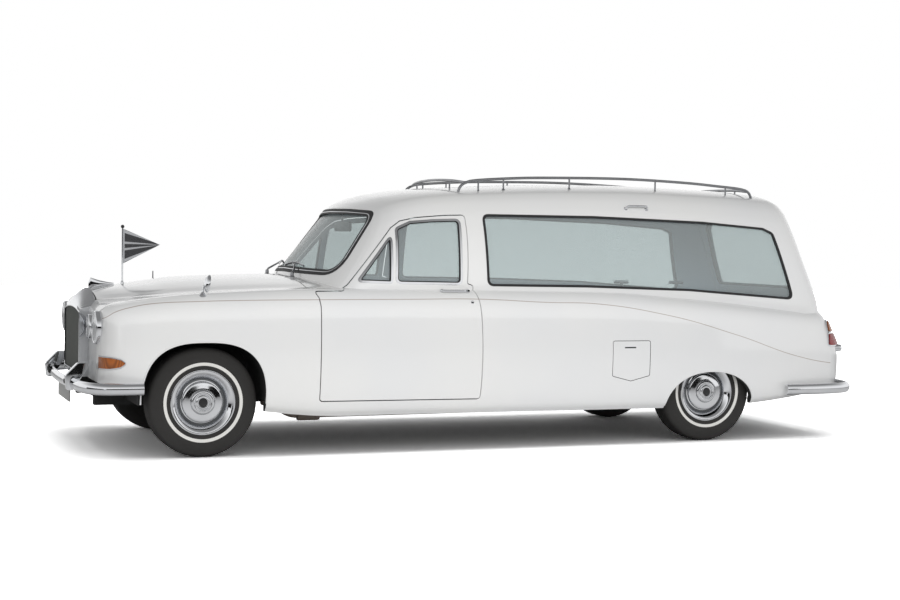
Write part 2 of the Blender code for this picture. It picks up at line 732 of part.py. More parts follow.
def mirrored(half):
    """A whole outline from its right half of (y, z), whose first and last points lie on the centre line."""
    return list(half) + [(-y, z) for y, z in reversed(half[1:-1])]


def mirrored_plan(half):
    """A whole outline from its right half of (x, y)."""
    return list(half) + [(x, -y) for x, y in reversed(half[1:-1])]


def between(rows, place):
    """The values of a table's row at a place, which its first column holds in rising order."""
    for before, after in zip(rows, rows[1:]):
        if place <= after[0] or after is rows[-1]:
            t = (place - before[0]) / (after[0] - before[0])
            return [a + t * (b - a) for a, b in zip(before[1:], after[1:])]


# The body's skin

LOWER_STATIONS = [(along(x), up(sill), across(width), up(wing), up(centre), across(bonnet))
                  for x, sill, width, wing, centre, bonnet in LOWER_STATION_SHARES]
UPPER_STATIONS = [(along(foot), along(crown), across(width), up(waist), up(top))
                  for foot, crown, width, waist, top in UPPER_STATION_SHARES]
TAIL_ROWS = [(up(height), along(place)) for height, place in TAIL_SHARES]
TAIL_X = TAIL_ROWS[0][1]
BASE_COLUMNS = 4


def tail_x(z):
    """Where the tail's profile is at a height."""
    return between(TAIL_ROWS, z)[0]


def crown_z(x):
    """The height of the bonnet's centre line at a place along the car."""
    return between(LOWER_STATIONS, x)[3]


def inset_section(half, inset):
    """A half section of (y, z), from its foot to the centre line, moved inwards."""
    points = [Vector(p) for p in half]
    made = []
    for i, here in enumerate(points):
        before = (here - points[i - 1]).normalized() if i else (points[1] - here).normalized()
        after = (points[i + 1] - here).normalized() if i + 1 < len(points) else Vector((-1, 0))
        n1 = Vector((-before.y, before.x))
        n2 = Vector((-after.y, after.x))
        middle = (n1 + n2).normalized()
        made.append(here + middle * (inset / max(0.5, middle.dot(n1))))
    made[-1].x = 0
    return made


def whole_ring(half, x_at):
    """A closed ring from a half section: from the left foot over the crown to the right foot, and back below."""
    left = [(x_at(y, z), -y, z) for y, z in half]
    right = [(x_at(y, z), y, z) for y, z in reversed(half[:-1])]
    foot_y, foot_z = half[0]
    base = []
    for k in range(1, BASE_COLUMNS):
        y = foot_y * (1 - 2 * k / BASE_COLUMNS)
        base.append((x_at(y, foot_z), y, foot_z))
    return left + right + base


def skinned(name, rings, half_count, front_at, rear_at):
    """A solid from rings of whole_ring, whose two ends are closed by rows of points that follow a formula."""
    ring_size = len(rings[0])
    points = [p for ring in rings for p in ring]
    faces = []
    for i in range(len(rings) - 1):
        for j in range(ring_size):
            k = (j + 1) % ring_size
            faces.append((i * ring_size + j, i * ring_size + k, (i + 1) * ring_size + k, (i + 1) * ring_size + j))
    crown = half_count - 1
    for start, x_at in ((0, front_at), ((len(rings) - 1) * ring_size, rear_at)):
        rows = [[start] + [start + ring_size - k for k in range(1, BASE_COLUMNS)] + [start + 2 * crown]]
        for i in range(1, crown):
            _, left_y, z = rings[start // ring_size][i]
            row = [start + i]
            for k in range(1, BASE_COLUMNS):
                y = left_y * (1 - 2 * k / BASE_COLUMNS)
                row.append(len(points))
                points.append((x_at(y, z), y, z))
            row.append(start + 2 * crown - i)
            rows.append(row)
        for low, high in zip(rows, rows[1:]):
            for k in range(BASE_COLUMNS):
                faces.append((low[k], low[k + 1], high[k + 1], high[k]))
        for k in range(BASE_COLUMNS):
            faces.append((rows[-1][k], rows[-1][k + 1], start + crown))
    return make(name, points, faces)


def tail_rounding():
    """For each ring of the rounded tail: its distance from the tail's profile, and how far the side has turned in."""
    for angle in TAIL_ROUND_TURNS:
        turn = math.radians(angle)
        yield TAIL_ROUND * (1 - math.cos(turn)), TAIL_ROUND * (1 - math.sin(turn))


def narrowed(half, inward):
    return [(max(0.0, y - inward), z) for y, z in half]


def lower_half(station, inset, foot_drop):
    """Half section of the lower body: its side up to the wing, then over the bonnet to the centre line."""
    _, sill, width, wing, centre, bonnet = station
    side = [(width * y, sill + (wing - sill) * z) for y, z in SIDE_SHARES]
    top = [(bonnet * y, wing + (centre - wing) * z) for y, z in CROWN_SHARES]
    half = inset_section(side + top, inset)
    if foot_drop:
        half[0].y = sill - foot_drop
    return [tuple(p) for p in half]


def lower_body(name, inset=0.0, foot_drop=0.0):
    """The body from its sills to the bonnet's top and the waist, as one solid."""
    rings = []
    nose_x = LOWER_STATIONS[0][0] + inset
    stations = [LOWER_STATIONS[0]] + [row for row in LOWER_STATIONS[1:] if row[0] > nose_x + SEAT_GAP]
    for i, station in enumerate(stations):
        place = station[0] if i else nose_x
        fade = max(0.0, (place - LEAN_START_X) / (TAIL_X - LEAN_START_X)) ** 2
        half = lower_half(station, inset, foot_drop)
        rings.append(whole_ring(half, lambda y, z: place + fade * (tail_x(z) - TAIL_X)))
    for forward, inward in tail_rounding():
        half = narrowed(lower_half(LOWER_STATIONS[-1], inset, foot_drop), inward)
        rings.append(whole_ring(half, lambda y, z: tail_x(z) - forward - inset))
    count = len(SIDE_SHARES) + len(CROWN_SHARES)
    return skinned(name, rings, count, lambda y, z: nose_x, lambda y, z: tail_x(z) - forward - inset)


def upper_station_x(station, inset):
    """The place of a greenhouse station as a function of (y, z)."""
    x_waist, x_crown, _, waist, crown = station
    first_crown = UPPER_STATIONS[0][1]
    slope = (x_crown - x_waist) / (crown - waist)
    fade = max(0.0, (SCREEN_BOW_END_X - x_crown) / (SCREEN_BOW_END_X - first_crown))
    shift = inset * fade * math.hypot(1, slope)
    bow = SCREEN_BOW_SHARE * fade / HALF_WIDTH
    return lambda y, z: x_waist + shift + slope * (z - waist) + bow * y * y


def upper_half(width, waist, crown, inset):
    half = [(width * y, waist + (crown - waist) * z) for y, z in UPPER_SHARES]
    return [tuple(p) for p in inset_section([(width, waist - GREENHOUSE_FOOT)] + half, inset)]


def upper_body(name, inset=0.0):
    """The greenhouse from the waist to the roof's crown, as one solid that reaches down into the lower body."""
    rings = []
    for station in UPPER_STATIONS:
        rings.append(whole_ring(upper_half(*station[2:], inset), upper_station_x(station, inset)))
    _, _, width, waist, crown = UPPER_STATIONS[-1]
    tuck = GREENHOUSE_TUCK / GREENHOUSE_FOOT
    for forward, inward in tail_rounding():
        half = narrowed(upper_half(width, waist, crown - CROWN_DROP_SHARE * inward, inset), inward)
        rings.append(whole_ring(half, lambda y, z: tail_x(z) - forward - inset - tuck * max(0, waist - z)))
    return skinned(name, rings, len(UPPER_SHARES) + 1, upper_station_x(UPPER_STATIONS[0], inset),
                   lambda y, z: tail_x(z) - forward - inset - tuck * max(0, waist - z))


def shell():
    """The body's whole skin, as one wall that is open below."""
    outer = joined(lower_body("outer"), upper_body("outer_upper"))
    inner = joined(lower_body("inner", SIDE_WALL, OVERRUN), upper_body("inner_upper", ROOF_WALL))
    return combine(outer, [inner])


def pane_skin(name):
    """A thin layer just under the greenhouse's skin, from which each pane is cut."""
    return combine(upper_body(name, GLASS_INSET), [upper_body(name + "_inner", GLASS_INSET + GLASS_THICK)])


# Cutters that bound the panels


def side_prism(name, outline, sign, near=CABIN_SIDE_Y, far=SIDE_LIMIT_Y, material="paint"):
    """A cutter through one side of the body, from an outline in the side view."""
    return prism(name, outline, *span(sign, near, far), "Y", material)


def door_outlines(grow):
    """The door's outline at its inner and its outer plane, grown by a distance."""
    made = []
    for plane_y in (DOOR_IN_Y, DOOR_OUT_Y):
        rear = [(along(x) + (plane_y - across(y)) * DOOR_SLANT, up(z)) for x, z, y in DOOR_REAR_SHARES]
        made.append(grown(side_view(DOOR_FRONT_SHARES) + rear, grow))
    return made


def door_cutter(name, sign, grow=0.0):
    inner, outer = door_outlines(grow)
    if sign > 0:
        return prism(name, inner, DOOR_IN_Y, DOOR_OUT_Y, "Y", far_outline=outer)
    return prism(name, outer, -DOOR_OUT_Y, -DOOR_IN_Y, "Y", far_outline=inner)


def arch(centre_x, base_z, half_length, rise):
    """The outline of a wheel opening, straight up from the ground and then half an ellipse."""
    turns = [math.pi * i / ARCH_STEPS for i in range(ARCH_STEPS + 1)]
    curve = [(centre_x - half_length * math.cos(a), base_z + rise * math.sin(a)) for a in turns]
    return [(curve[0][0], 0)] + curve + [(curve[-1][0], 0)]


def front_arch():
    return arch(FRONT_AXLE_X - FRONT_ARCH_SETBACK, WHEEL_Z, FRONT_ARCH_RADIUS, FRONT_ARCH_RADIUS)


def rear_arch():
    return arch(REAR_AXLE_X - REAR_ARCH_SETBACK, REAR_ARCH_Z, REAR_ARCH_HALF_LENGTH, REAR_ARCH_RISE)


def roof_region(name, grow=0.0):
    """All that belongs to the roof, its front pillars and the scuttle, in the side view."""
    outline = [(COWL_FRONT_X, COWL_Z), (PILLAR_X, COWL_Z), (PILLAR_X, ROOF_SPLIT_Z), (REAR_LIMIT_X, ROOF_SPLIT_Z),
               (REAR_LIMIT_X, TOP_LIMIT_Z), (COWL_FRONT_X, TOP_LIMIT_Z)]
    return prism(name, grown(outline, grow), -SIDE_LIMIT_Y, SIDE_LIMIT_Y, "Y")


def bonnet_region(name, grow=0.0):
    outline = mirrored_plan(plan_view(BONNET_SHARES))
    return prism(name, grown(outline, grow), BONNET_FLOOR_Z - grow, TOP_LIMIT_Z, "Z")


def bonnet_swing(name):
    """What lies outside the circle that the bonnet's front edge follows as it opens."""
    reach_x, reach_z = BONNET_REAR_X - BONNET_FRONT_X, crown_z(BONNET_REAR_X) - crown_z(BONNET_FRONT_X)
    radius = math.hypot(reach_x, reach_z)
    turns = [math.radians(a) for a in range(-20, 13, 4)]
    arc = [(BONNET_REAR_X - radius * math.cos(a), crown_z(BONNET_REAR_X) + radius * math.sin(a)) for a in turns]
    outline = arc + [(FRONT_LIMIT_X, arc[-1][1]), (FRONT_LIMIT_X, arc[0][1])]
    return prism(name, outline, -SIDE_LIMIT_Y, SIDE_LIMIT_Y, "Y")


def tailgate_region(name, grow=0.0):
    outline = rounded(mirrored(front_view(TAILGATE_SHARES)), TAILGATE_ROUND)
    return prism(name, grown(outline, grow), TAILGATE_FRONT_X, REAR_LIMIT_X, "X")


def side_window(grow=0.0):
    return grown(rounded(side_view(SIDE_WINDOW_SHARES), WINDOW_ROUND), grow)


def screen_outline():
    return rounded(mirrored(front_view(SCREEN_SHARES)), SCREEN_ROUND)


def tail_window():
    return rounded(mirrored(front_view(TAIL_WINDOW_SHARES)), WINDOW_ROUND)


def drop_glass():
    return rounded(side_view(DROP_GLASS_SHARES), DROP_GLASS_ROUND)


# Body panels and panes


def build_bonnet(made, whole):
    bonnet = common(copy_of(whole, "bonnet"), bonnet_region("region"))
    combine(bonnet, [bonnet_swing("swing")])
    half, z = WIDE_BARREL_LENGTH / 2, crown_z(BONNET_REAR_X)
    barrel = rod("barrel", (BONNET_REAR_X, -half, z), (BONNET_REAR_X, half, z), BARREL_RADIUS, "paint")
    made["bonnet"] = smooth(joined(bonnet, barrel))


def build_roof(made, whole, pane, cutters):
    roof = common(copy_of(whole, "roof"), roof_region("region"))
    combine(roof, cutters, keep=True)
    combine(roof, [prism("screen", screen_outline(), FRONT_LIMIT_X, SCREEN_END_X, "X")])
    for _, sign in SIDES:
        combine(roof, [door_cutter("door", sign, SHUT_GAP), side_prism("window", side_window(), sign)])
    made["roof"] = smooth(roof)
    outline = grown(screen_outline(), -SEAT_GAP)
    glass = common(copy_of(pane, "windscreen", "glass"), prism("cut", outline, FRONT_LIMIT_X, SCREEN_END_X, "X"))
    made["windscreen"] = smooth(glass)


def build_tailgate(made, whole, pane):
    tailgate = common(copy_of(whole, "tailgate"), tailgate_region("region"))
    combine(tailgate, [prism("window", tail_window(), TAILGATE_FRONT_X, REAR_LIMIT_X, "X")])
    half, x, z = WIDE_BARREL_LENGTH / 2, TAILGATE_HINGE_X, TAILGATE_TOP_Z
    barrel = rod("barrel", (x, -half, z), (x, half, z), BARREL_RADIUS, "paint")
    made["tailgate"] = smooth(joined(tailgate, barrel))
    outline = grown(tail_window(), -SEAT_GAP)
    glass = common(copy_of(pane, "tailgate_glass", "glass"), prism("cut", outline, TAILGATE_FRONT_X, REAR_LIMIT_X, "X"))
    made["tailgate_glass"] = smooth(glass)


def build_ends(made, whole, cut_bonnet, cut_tailgate):
    """The nose between the wings and the panel below the tailgate."""
    low = (FRONT_LIMIT_X, -NOSE_HALF_WIDTH, UNDER_LIMIT_Z)
    nose = common(copy_of(whole, "nose"), box("region", low, (NOSE_REAR_X, NOSE_HALF_WIDTH, NOSE_TOP_Z)))
    made["nose"] = smooth(combine(nose, [cut_bonnet], keep=True))
    low = (TAIL_PANEL_FRONT_X, -TAIL_PANEL_Y, UNDER_LIMIT_Z)
    panel = common(copy_of(whole, "tail_panel"), box("region", low, (REAR_LIMIT_X, TAIL_PANEL_Y, TAIL_PANEL_TOP_Z)))
    made["tail_panel"] = smooth(combine(panel, [cut_tailgate], keep=True))


def build_door(made, whole, side, sign):
    door = common(copy_of(whole, "door_" + side), door_cutter("region", sign))
    combine(door, [side_prism("light", side_view(QUARTER_LIGHT_SHARES), sign), side_prism("drop", drop_glass(), sign)])
    for share in DOOR_HINGE_HEIGHT_SHARES:
        low = (DOOR_HINGE_X, sign * HALF_WIDTH, up(share))
        high = (DOOR_HINGE_X, sign * HALF_WIDTH, up(share) + BARREL_LENGTH)
        joined(door, rod("barrel", low, high, BARREL_RADIUS, "paint"))
    made["door_" + side] = smooth(door)


def build_wing(made, whole, side, sign, cut_bonnet, cut_roof):
    corner = [(x - SHUT_GAP, z) for x, z in side_view(DOOR_FRONT_SHARES[:DOOR_CORNER_POINTS])]
    outline = ([(FRONT_LIMIT_X, 0), (corner[0][0], 0)] + corner
               + [(corner[-1][0], TOP_LIMIT_Z), (FRONT_LIMIT_X, TOP_LIMIT_Z)])
    wing = common(copy_of(whole, "wing_" + side), side_prism("region", outline, sign, SPLIT_Y))
    combine(wing, [cut_bonnet, cut_roof], keep=True)
    wide = NOSE_HALF_WIDTH + SEAT_GAP
    combine(wing, [box("nose", (FRONT_LIMIT_X, -wide, UNDER_LIMIT_Z), (FLOOR_FRONT_X, wide, TOP_LIMIT_Z))])
    made["wing_" + side] = smooth(combine(wing, [side_prism("arch", front_arch(), sign)]))


def build_quarter(made, whole, side, sign, cut_roof, cut_tailgate):
    sill_x = along(DOOR_FRONT_SHARES[0][0]) - SHUT_GAP + SEAT_GAP
    outline = [(sill_x, 0), (REAR_LIMIT_X, 0), (REAR_LIMIT_X, TOP_LIMIT_Z), (SILL_STEP_X, TOP_LIMIT_Z),
               (SILL_STEP_X, SILL_TOP_Z), (sill_x, SILL_TOP_Z)]
    quarter = common(copy_of(whole, "quarter_" + side), side_prism("region", outline, sign, SPLIT_Y))
    combine(quarter, [cut_roof, cut_tailgate], keep=True)
    wide = TAIL_PANEL_Y + SEAT_GAP
    combine(quarter, [door_cutter("door", sign, SHUT_GAP), side_prism("arch", rear_arch(), sign),
                      side_prism("window", side_window(), sign),
                      box("panel", (TAILGATE_FRONT_X, -wide, UNDER_LIMIT_Z), (REAR_LIMIT_X, wide, TAIL_PANEL_TOP_Z))])
    made["quarter_" + side] = smooth(quarter)


def build_side_panes(made, pane, side, sign):
    cuts = {"side_glass_": side_window(-SEAT_GAP), "quarter_light_": grown(side_view(QUARTER_LIGHT_SHARES), -SEAT_GAP),
            "door_glass_": grown(drop_glass(), -SEAT_GAP)}
    for name, outline in cuts.items():
        glass = common(copy_of(pane, name + side, "glass"), side_prism("cut", outline, sign))
        made[name + side] = smooth(glass)


def build_panels(made):
    whole = shell()
    pane = pane_skin("pane")
    cut_bonnet = bonnet_region("cut_bonnet", SHUT_GAP)
    cut_tailgate = tailgate_region("cut_tailgate", SHUT_GAP)
    cut_roof = roof_region("cut_roof", SEAT_GAP)
    build_bonnet(made, whole)
    build_roof(made, whole, pane, [cut_bonnet, cut_tailgate])
    build_tailgate(made, whole, pane)
    build_ends(made, whole, cut_bonnet, cut_tailgate)
    for side, sign in SIDES:
        build_door(made, whole, side, sign)
        build_wing(made, whole, side, sign, cut_bonnet, cut_roof)
        build_quarter(made, whole, side, sign, cut_roof, cut_tailgate)
        build_side_panes(made, pane, side, sign)
    for spare in (whole, pane, cut_bonnet, cut_tailgate, cut_roof):
        discard(spare)


# Pieces that go on the body


def build_lights(made):
    """Round lamps on the nose, and corner lamps that stand proud of the body's own curve."""
    proud = lower_body("proud", -LAMP_PROUD)
    for side, sign in SIDES:
        for name, (y_share, z_share), radius in zip(("headlamp_", "driving_lamp_"), LAMP_SHARES, LAMP_RADII):
            profile = [(radius * r, LAMP_DEPTH * t) for r, t in LAMP_PROFILE_SHARES]
            profile = [(0, profile[0][1])] + profile + [(0, LAMP_DEPTH)]
            centre = (LAMP_X, sign * across(y_share), up(z_share))
            lamp = turned(name + side, profile, centre, "X", LAMP_SEGMENTS, "lamp", -1)
            made[name + side] = smooth(seated(lamp, [made["nose"], made["wing_" + side]], (-1, 0, 0)))
        corners = (("indicator_", INDICATOR_SHARES, INDICATOR_IN_Y, "wing_", "amber", -1),
                   ("tail_lamp_", TAIL_LAMP_SHARES, TAIL_LAMP_IN_Y, "quarter_", "red", 1))
        for name, shares, near, carrier, material, way in corners:
            lamp = common(copy_of(proud, name + side, material), side_prism("cut", side_view(shares), sign, near))
            made[name + side] = smooth(seated(lamp, [made[carrier + side]], (way, sign, 0)))
    discard(proud)


def dome_ring(t):
    """The grille shell's section at a share t of its depth: straight sides and an arched, fluted top."""
    (front_y, front_z), (rear_y, rear_z) = front_view(DOME_SIDE_SHARES)
    half = front_y + (rear_y - front_y) * t
    shoulder = front_z + (rear_z - front_z) * t
    low, high = (up(share) for share in DOME_CENTRE_SHARES)
    centre = low + (high - low) * math.sin(t * math.pi / 2)
    ring = [(-half, GRILLE_BOTTOM_Z)]
    for i in range(2 * FLUTES + 1):
        y = half * (i / FLUTES - 1)
        rise = (1 - abs(i / FLUTES - 1) ** ARCH_POWER) * (centre - shoulder)
        ring.append((y, shoulder + rise - FLUTE_DEPTH * t * (i % 2)))
    return ring + [(half, GRILLE_BOTTOM_Z)]


def build_grille(made):
    """The chrome shell with its fluted dome, and the upright slats inside its frame."""
    rings = []
    for i in range(DOME_STEPS + 1):
        t = i / DOME_STEPS
        x = GRILLE_FRONT_X + (DOME_REAR_X - GRILLE_FRONT_X) * t
        rings.append([(x, y, z) for y, z in dome_ring(t)])
    shape = bridged("grille_shell", rings, "chrome")
    frame = dome_ring(0)
    opening = rounded(grown(frame[:2] + frame[FLUTES - 10:FLUTES + 13:4] + frame[-2:], -GRILLE_FRAME), GRILLE_FRAME)
    nose_x = LOWER_STATIONS[0][0]
    seated(shape, [made["nose"]], (-1, 0, 1))
    made["grille_shell"] = smooth(combine(shape, [prism("opening", opening, FRONT_LIMIT_X, nose_x, "X")]))
    half = dome_ring(0)[-1][0]
    front = GRILLE_FRONT_X + SLAT_SETBACK
    wide = 2 * half / SLAT_COUNT
    comb = []
    for i in range(SLAT_COUNT):
        y = -half + wide * i
        comb += [(front + SLAT_DEPTH, y), (front, y + wide / 3), (front + SLAT_DEPTH, y + 2 * wide / 3)]
    rear = front + SLAT_BACK + SLAT_DEPTH
    comb += [(front + SLAT_DEPTH, half), (rear, half), (rear, -half)]
    slats = prism("grille", comb, GRILLE_BOTTOM_Z, NOSE_TOP_Z, "Z", "dark")
    made["grille"] = common(slats, prism("edge", grown(opening, -SEAT_GAP), FRONT_LIMIT_X, nose_x - SEAT_GAP, "X"))


def bar(name, shares, z, height, rise):
    """A bumper bar swept along its path in plan and the path's mirror image."""
    half = plan_view(shares)
    whole = [(x, -y, z) for x, y in half] + [(x, y, z) for x, y in reversed(half[:-1])]
    section = [(BAR_DEPTH / 2 * a, height / 2 * b) for a, b in BAR_SECTION_SHARES]
    return swept(name, smooth_path(whole, BAR_SPAN_STEPS), section, "chrome", (0, 0, rise))


def build_bumpers(made):
    front = bar("front_bumper", FRONT_BAR_SHARES, FRONT_BAR_Z, BAR_HEIGHT, -1)
    bar_x = plan_view(FRONT_BAR_SHARES)[-1][0]
    for _, sign in SIDES:
        guard = prism("guard", side_view(FRONT_GUARD_SHARES), *span(sign, FRONT_GUARD_Y - GUARD_WIDTH / 2,
                                                                     FRONT_GUARD_Y + GUARD_WIDTH / 2), "Y", "chrome")
        low = (FRONT_BAR_Z - IRON_HEIGHT / 2, RAIL_Z + RAIL_HEIGHT / 2 - IRON_HEIGHT / 2)
        front_x, rear_x = bar_x + BAR_DEPTH / 4, RAIL_FRONT_X - SEAT_GAP
        outline = [(front_x, low[0]), (rear_x, low[1]), (rear_x, low[1] + IRON_HEIGHT), (front_x, low[0] + IRON_HEIGHT)]
        iron = prism("iron", outline, *span(sign, IRON_Y - IRON_WIDTH / 2, IRON_Y + IRON_WIDTH / 2), "Y", "chrome")
        joined(front, guard, iron)
    plate = box("plate", (PLATE_X - PLATE_THICK, -PLATE_WIDTH / 2, PLATE_BOTTOM_Z),
                (PLATE_X, PLATE_WIDTH / 2, PLATE_TOP_Z), "chrome")
    made["front_bumper"] = smooth(joined(front, plate))
    rear = bar("rear_bumper", REAR_BAR_SHARES, REAR_BAR_Z, REAR_BAR_HEIGHT, 1)
    bar_x = plan_view(REAR_BAR_SHARES)[-1][0]
    for _, sign in SIDES:
        guard = prism("guard", side_view(REAR_GUARD_SHARES), *span(sign, REAR_GUARD_Y - GUARD_WIDTH / 2,
                                                                    REAR_GUARD_Y + GUARD_WIDTH / 2), "Y", "chrome")
        low, high = span(sign, REAR_GUARD_Y - IRON_WIDTH / 2, REAR_GUARD_Y + IRON_WIDTH / 2)
        iron = box("iron", (TAIL_PANEL_FRONT_X + SIDE_WALL, low, REAR_BAR_Z - IRON_HEIGHT / 2),
                   (bar_x - BAR_DEPTH, high, REAR_BAR_Z + IRON_HEIGHT / 2), "chrome")
        joined(rear, guard, iron)
    made["rear_bumper"] = smooth(seated(rear, [made["tail_panel"]], (1, 0, 0)))


def build_roof_rail(made):
    """The tray rail round the roof: two side rails on posts, and a bowed cross rail at each end."""
    tube = circle(TRAY_RAIL_RADIUS)
    rail = None
    for _, sign in SIDES:
        y = sign * TRAY_RAIL_Y
        path = smooth_path([(x, y, z) for x, z in side_view(RAIL_SHARES)], 1)
        side_rail = swept("roof_rail", path, tube, "chrome", (0, 1, 0))
        rail = joined(rail, side_rail) if rail else side_rail
        for x, z in side_view(TRAY_POST_SHARES):
            joined(rail, rod("post", (x, y, z - TRAY_POST_DEPTH), (x, y, z), TRAY_POST_RADIUS, "chrome", 5))
    for end_x, end_z, middle_x, middle_z in CROSS_RAIL_SHARES:
        ends = (along(end_x), up(end_z))
        middle = (along(middle_x), up(middle_z))
        half = [(ends[0], TRAY_RAIL_Y, ends[1]), (0.3 * ends[0] + 0.7 * middle[0], CROSS_POST_Y,
                                                 0.3 * ends[1] + 0.7 * middle[1])]
        path = [(x, -y, z) for x, y, z in half] + [(middle[0], 0, middle[1])] + list(reversed(half))
        joined(rail, swept("cross", smooth_path(path, 2), tube, "chrome"))
        x, y, z = half[1]
        for _, sign in SIDES:
            foot = (x, sign * y, z - TRAY_POST_DEPTH)
            joined(rail, rod("post", foot, (x, sign * y, z), TRAY_POST_RADIUS, "chrome", 5))
    made["roof_rail"] = seated(rail, [made["roof"]])


def build_bonnet_pieces(made):
    ornament = prism("ornament", side_view(ORNAMENT_SHARES), -ORNAMENT_WIDTH / 2, ORNAMENT_WIDTH / 2, "Y", "chrome")
    made["ornament"] = seated(ornament, [made["bonnet"]])
    foot_z = crown_z(MAST_X)
    mast = rod("flag_mast", (MAST_X, 0, foot_z - MAST_SUNK), (MAST_X, 0, MAST_TOP_Z), MAST_RADIUS)
    joined(mast, rod("ball", (MAST_X, 0, MAST_TOP_Z - BALL_RADIUS), (MAST_X, 0, MAST_TOP_Z + BALL_RADIUS), BALL_RADIUS),
           rod("foot", (MAST_X, 0, foot_z - MAST_SUNK), (MAST_X, 0, foot_z + MAST_FOOT_HEIGHT), MAST_FOOT_RADIUS))
    made["flag_mast"] = seated(mast, [made["bonnet"]])
    outline = side_view(PENNANT_SHARES)
    outline = [(x + (MAST_RADIUS + SEAT_GAP if i != 1 else 0), z) for i, (x, z) in enumerate(outline)]
    made["pennant"] = prism("pennant", outline, -PENNANT_THICK / 2, PENNANT_THICK / 2, "Y", "cloth")


def build_mirror(made):
    """The wing mirror: a rounded shell, open side to the rear, on a leaning stalk."""
    rings = []
    for size, depth in MIRROR_SHARES:
        ring = []
        for i in range(12):
            angle = 2 * math.pi * i / 12
            c, s = math.cos(angle), math.sin(angle)
            y = math.copysign(abs(c) ** 0.6, c) * size * MIRROR_HALF_WIDTH
            z = math.copysign(abs(s) ** 0.6, s) * size * MIRROR_HALF_HEIGHT
            ring.append((MIRROR_X + MIRROR_DEPTH * depth, MIRROR_Y + y, MIRROR_Z + z))
        rings.append(ring)
    mirror = bridged("mirror_left", rings, "chrome")
    foot = (MIRROR_X, MIRROR_Y, MIRROR_FOOT_Z)
    stalk = rod("stalk", foot, (MIRROR_X + MIRROR_LEAN, MIRROR_Y, MIRROR_Z), MIRROR_STALK_RADIUS)
    made["mirror_left"] = smooth(seated(joined(mirror, stalk), [made["wing_left"]]))


def build_door_handles(made):
    for side, sign in SIDES:
        station = between(LOWER_STATIONS, HANDLE_FRONT_X)
        surface = between([(z, station[1] * y) for y, z in
                           ((y, station[0] + (station[2] - station[0]) * z) for y, z in SIDE_SHARES)], HANDLE_Z)[0]
        low, high = span(sign, surface - HANDLE_DEPTH, surface + HANDLE_DEPTH)
        handle = box("handle", (HANDLE_FRONT_X, low, HANDLE_Z - HANDLE_HEIGHT / 2),
                     (HANDLE_REAR_X, high, HANDLE_Z + HANDLE_HEIGHT / 2))
        joined(made["door_" + side], handle)


def build_flaps(made):
    """Each flap is a thin skin cut from its quarter panel, over a shallow pocket."""
    outline = side_view(FLAP_SHARES)
    for side, sign in SIDES:
        flap = common(copy_of(made["quarter_" + side], "flap_" + side), side_prism("region", outline, sign))
        depth = HALF_WIDTH - FLAP_POCKET
        combine(made["quarter_" + side], [side_prism("pocket", grown(outline, SHUT_GAP), sign, depth)])
        skin = HALF_WIDTH - FLAP_THICK
        combine(flap, [side_prism("inside", grown(outline, OVERRUN), sign, CABIN_SIDE_Y, skin)])
        low = (FLAP_HINGE_X, sign * HALF_WIDTH, FLAP_HINGE_Z - BARREL_LENGTH / 2)
        high = (FLAP_HINGE_X, sign * HALF_WIDTH, FLAP_HINGE_Z + BARREL_LENGTH / 2)
        made["flap_" + side] = smooth(joined(flap, rod("barrel", low, high, BARREL_RADIUS, "paint")))


# Floor, frame and running gear


def build_floor(made):
    """The floor pan, its raised rear part, the bulkhead and the frame rails ahead of it, in one piece."""
    top = FLOOR_Z + FLOOR_THICK
    rear_top = REAR_FLOOR_Z + FLOOR_THICK
    wide, rear_wide = FLOOR_HALF_WIDTH, REAR_FLOOR_HALF_WIDTH
    step_x = FLOOR_STEP_X - FLOOR_THICK
    floor = box("floor", (FLOOR_FRONT_X, -wide, FLOOR_Z), (FLOOR_STEP_X, wide, top), "dark")
    joined(floor, box("riser", (step_x, -rear_wide, FLOOR_Z), (FLOOR_STEP_X, rear_wide, rear_top), "dark"),
           box("rear", (step_x, -rear_wide, REAR_FLOOR_Z), (FLOOR_REAR_X, rear_wide, rear_top), "dark"))
    combine(floor, [copy_of(made[name], "carrier") for name in ("quarter_left", "quarter_right", "tail_panel")])
    floor.data.transform(Matrix.Diagonal((1, 1 - 2 * SEAT_GAP / REAR_FLOOR_HALF_WIDTH, 1, 1)))
    for _, sign in SIDES:
        low, high = span(sign, NOTCH_IN_Y, wide)
        reach = TYRE_RADIUS + NOTCH_REACH
        combine(floor, [box("notch", (REAR_AXLE_X - reach, low, FLOOR_Z), (REAR_AXLE_X + reach, high, TOP_LIMIT_Z))])
        low, high = span(sign, IRON_Y - RAIL_WIDTH / 2, IRON_Y + RAIL_WIDTH / 2)
        rail_rear = WALL_REAR_X - WALL_THICK / 2
        joined(floor, box("rail", (RAIL_FRONT_X, low, RAIL_Z), (rail_rear, high, RAIL_Z + RAIL_HEIGHT), "dark"))
    wall_wide = WALL_HALF_WIDTH
    joined(floor, box("wall", (WALL_REAR_X - WALL_THICK, -wall_wide, FLOOR_Z), (WALL_REAR_X, wall_wide, WALL_TOP_Z), "dark"),
           box("toe", (WALL_REAR_X - WALL_THICK / 2, -wall_wide, FLOOR_Z), (FLOOR_FRONT_X + WALL_THICK, wall_wide, top), "dark"))
    made["floor"] = floor


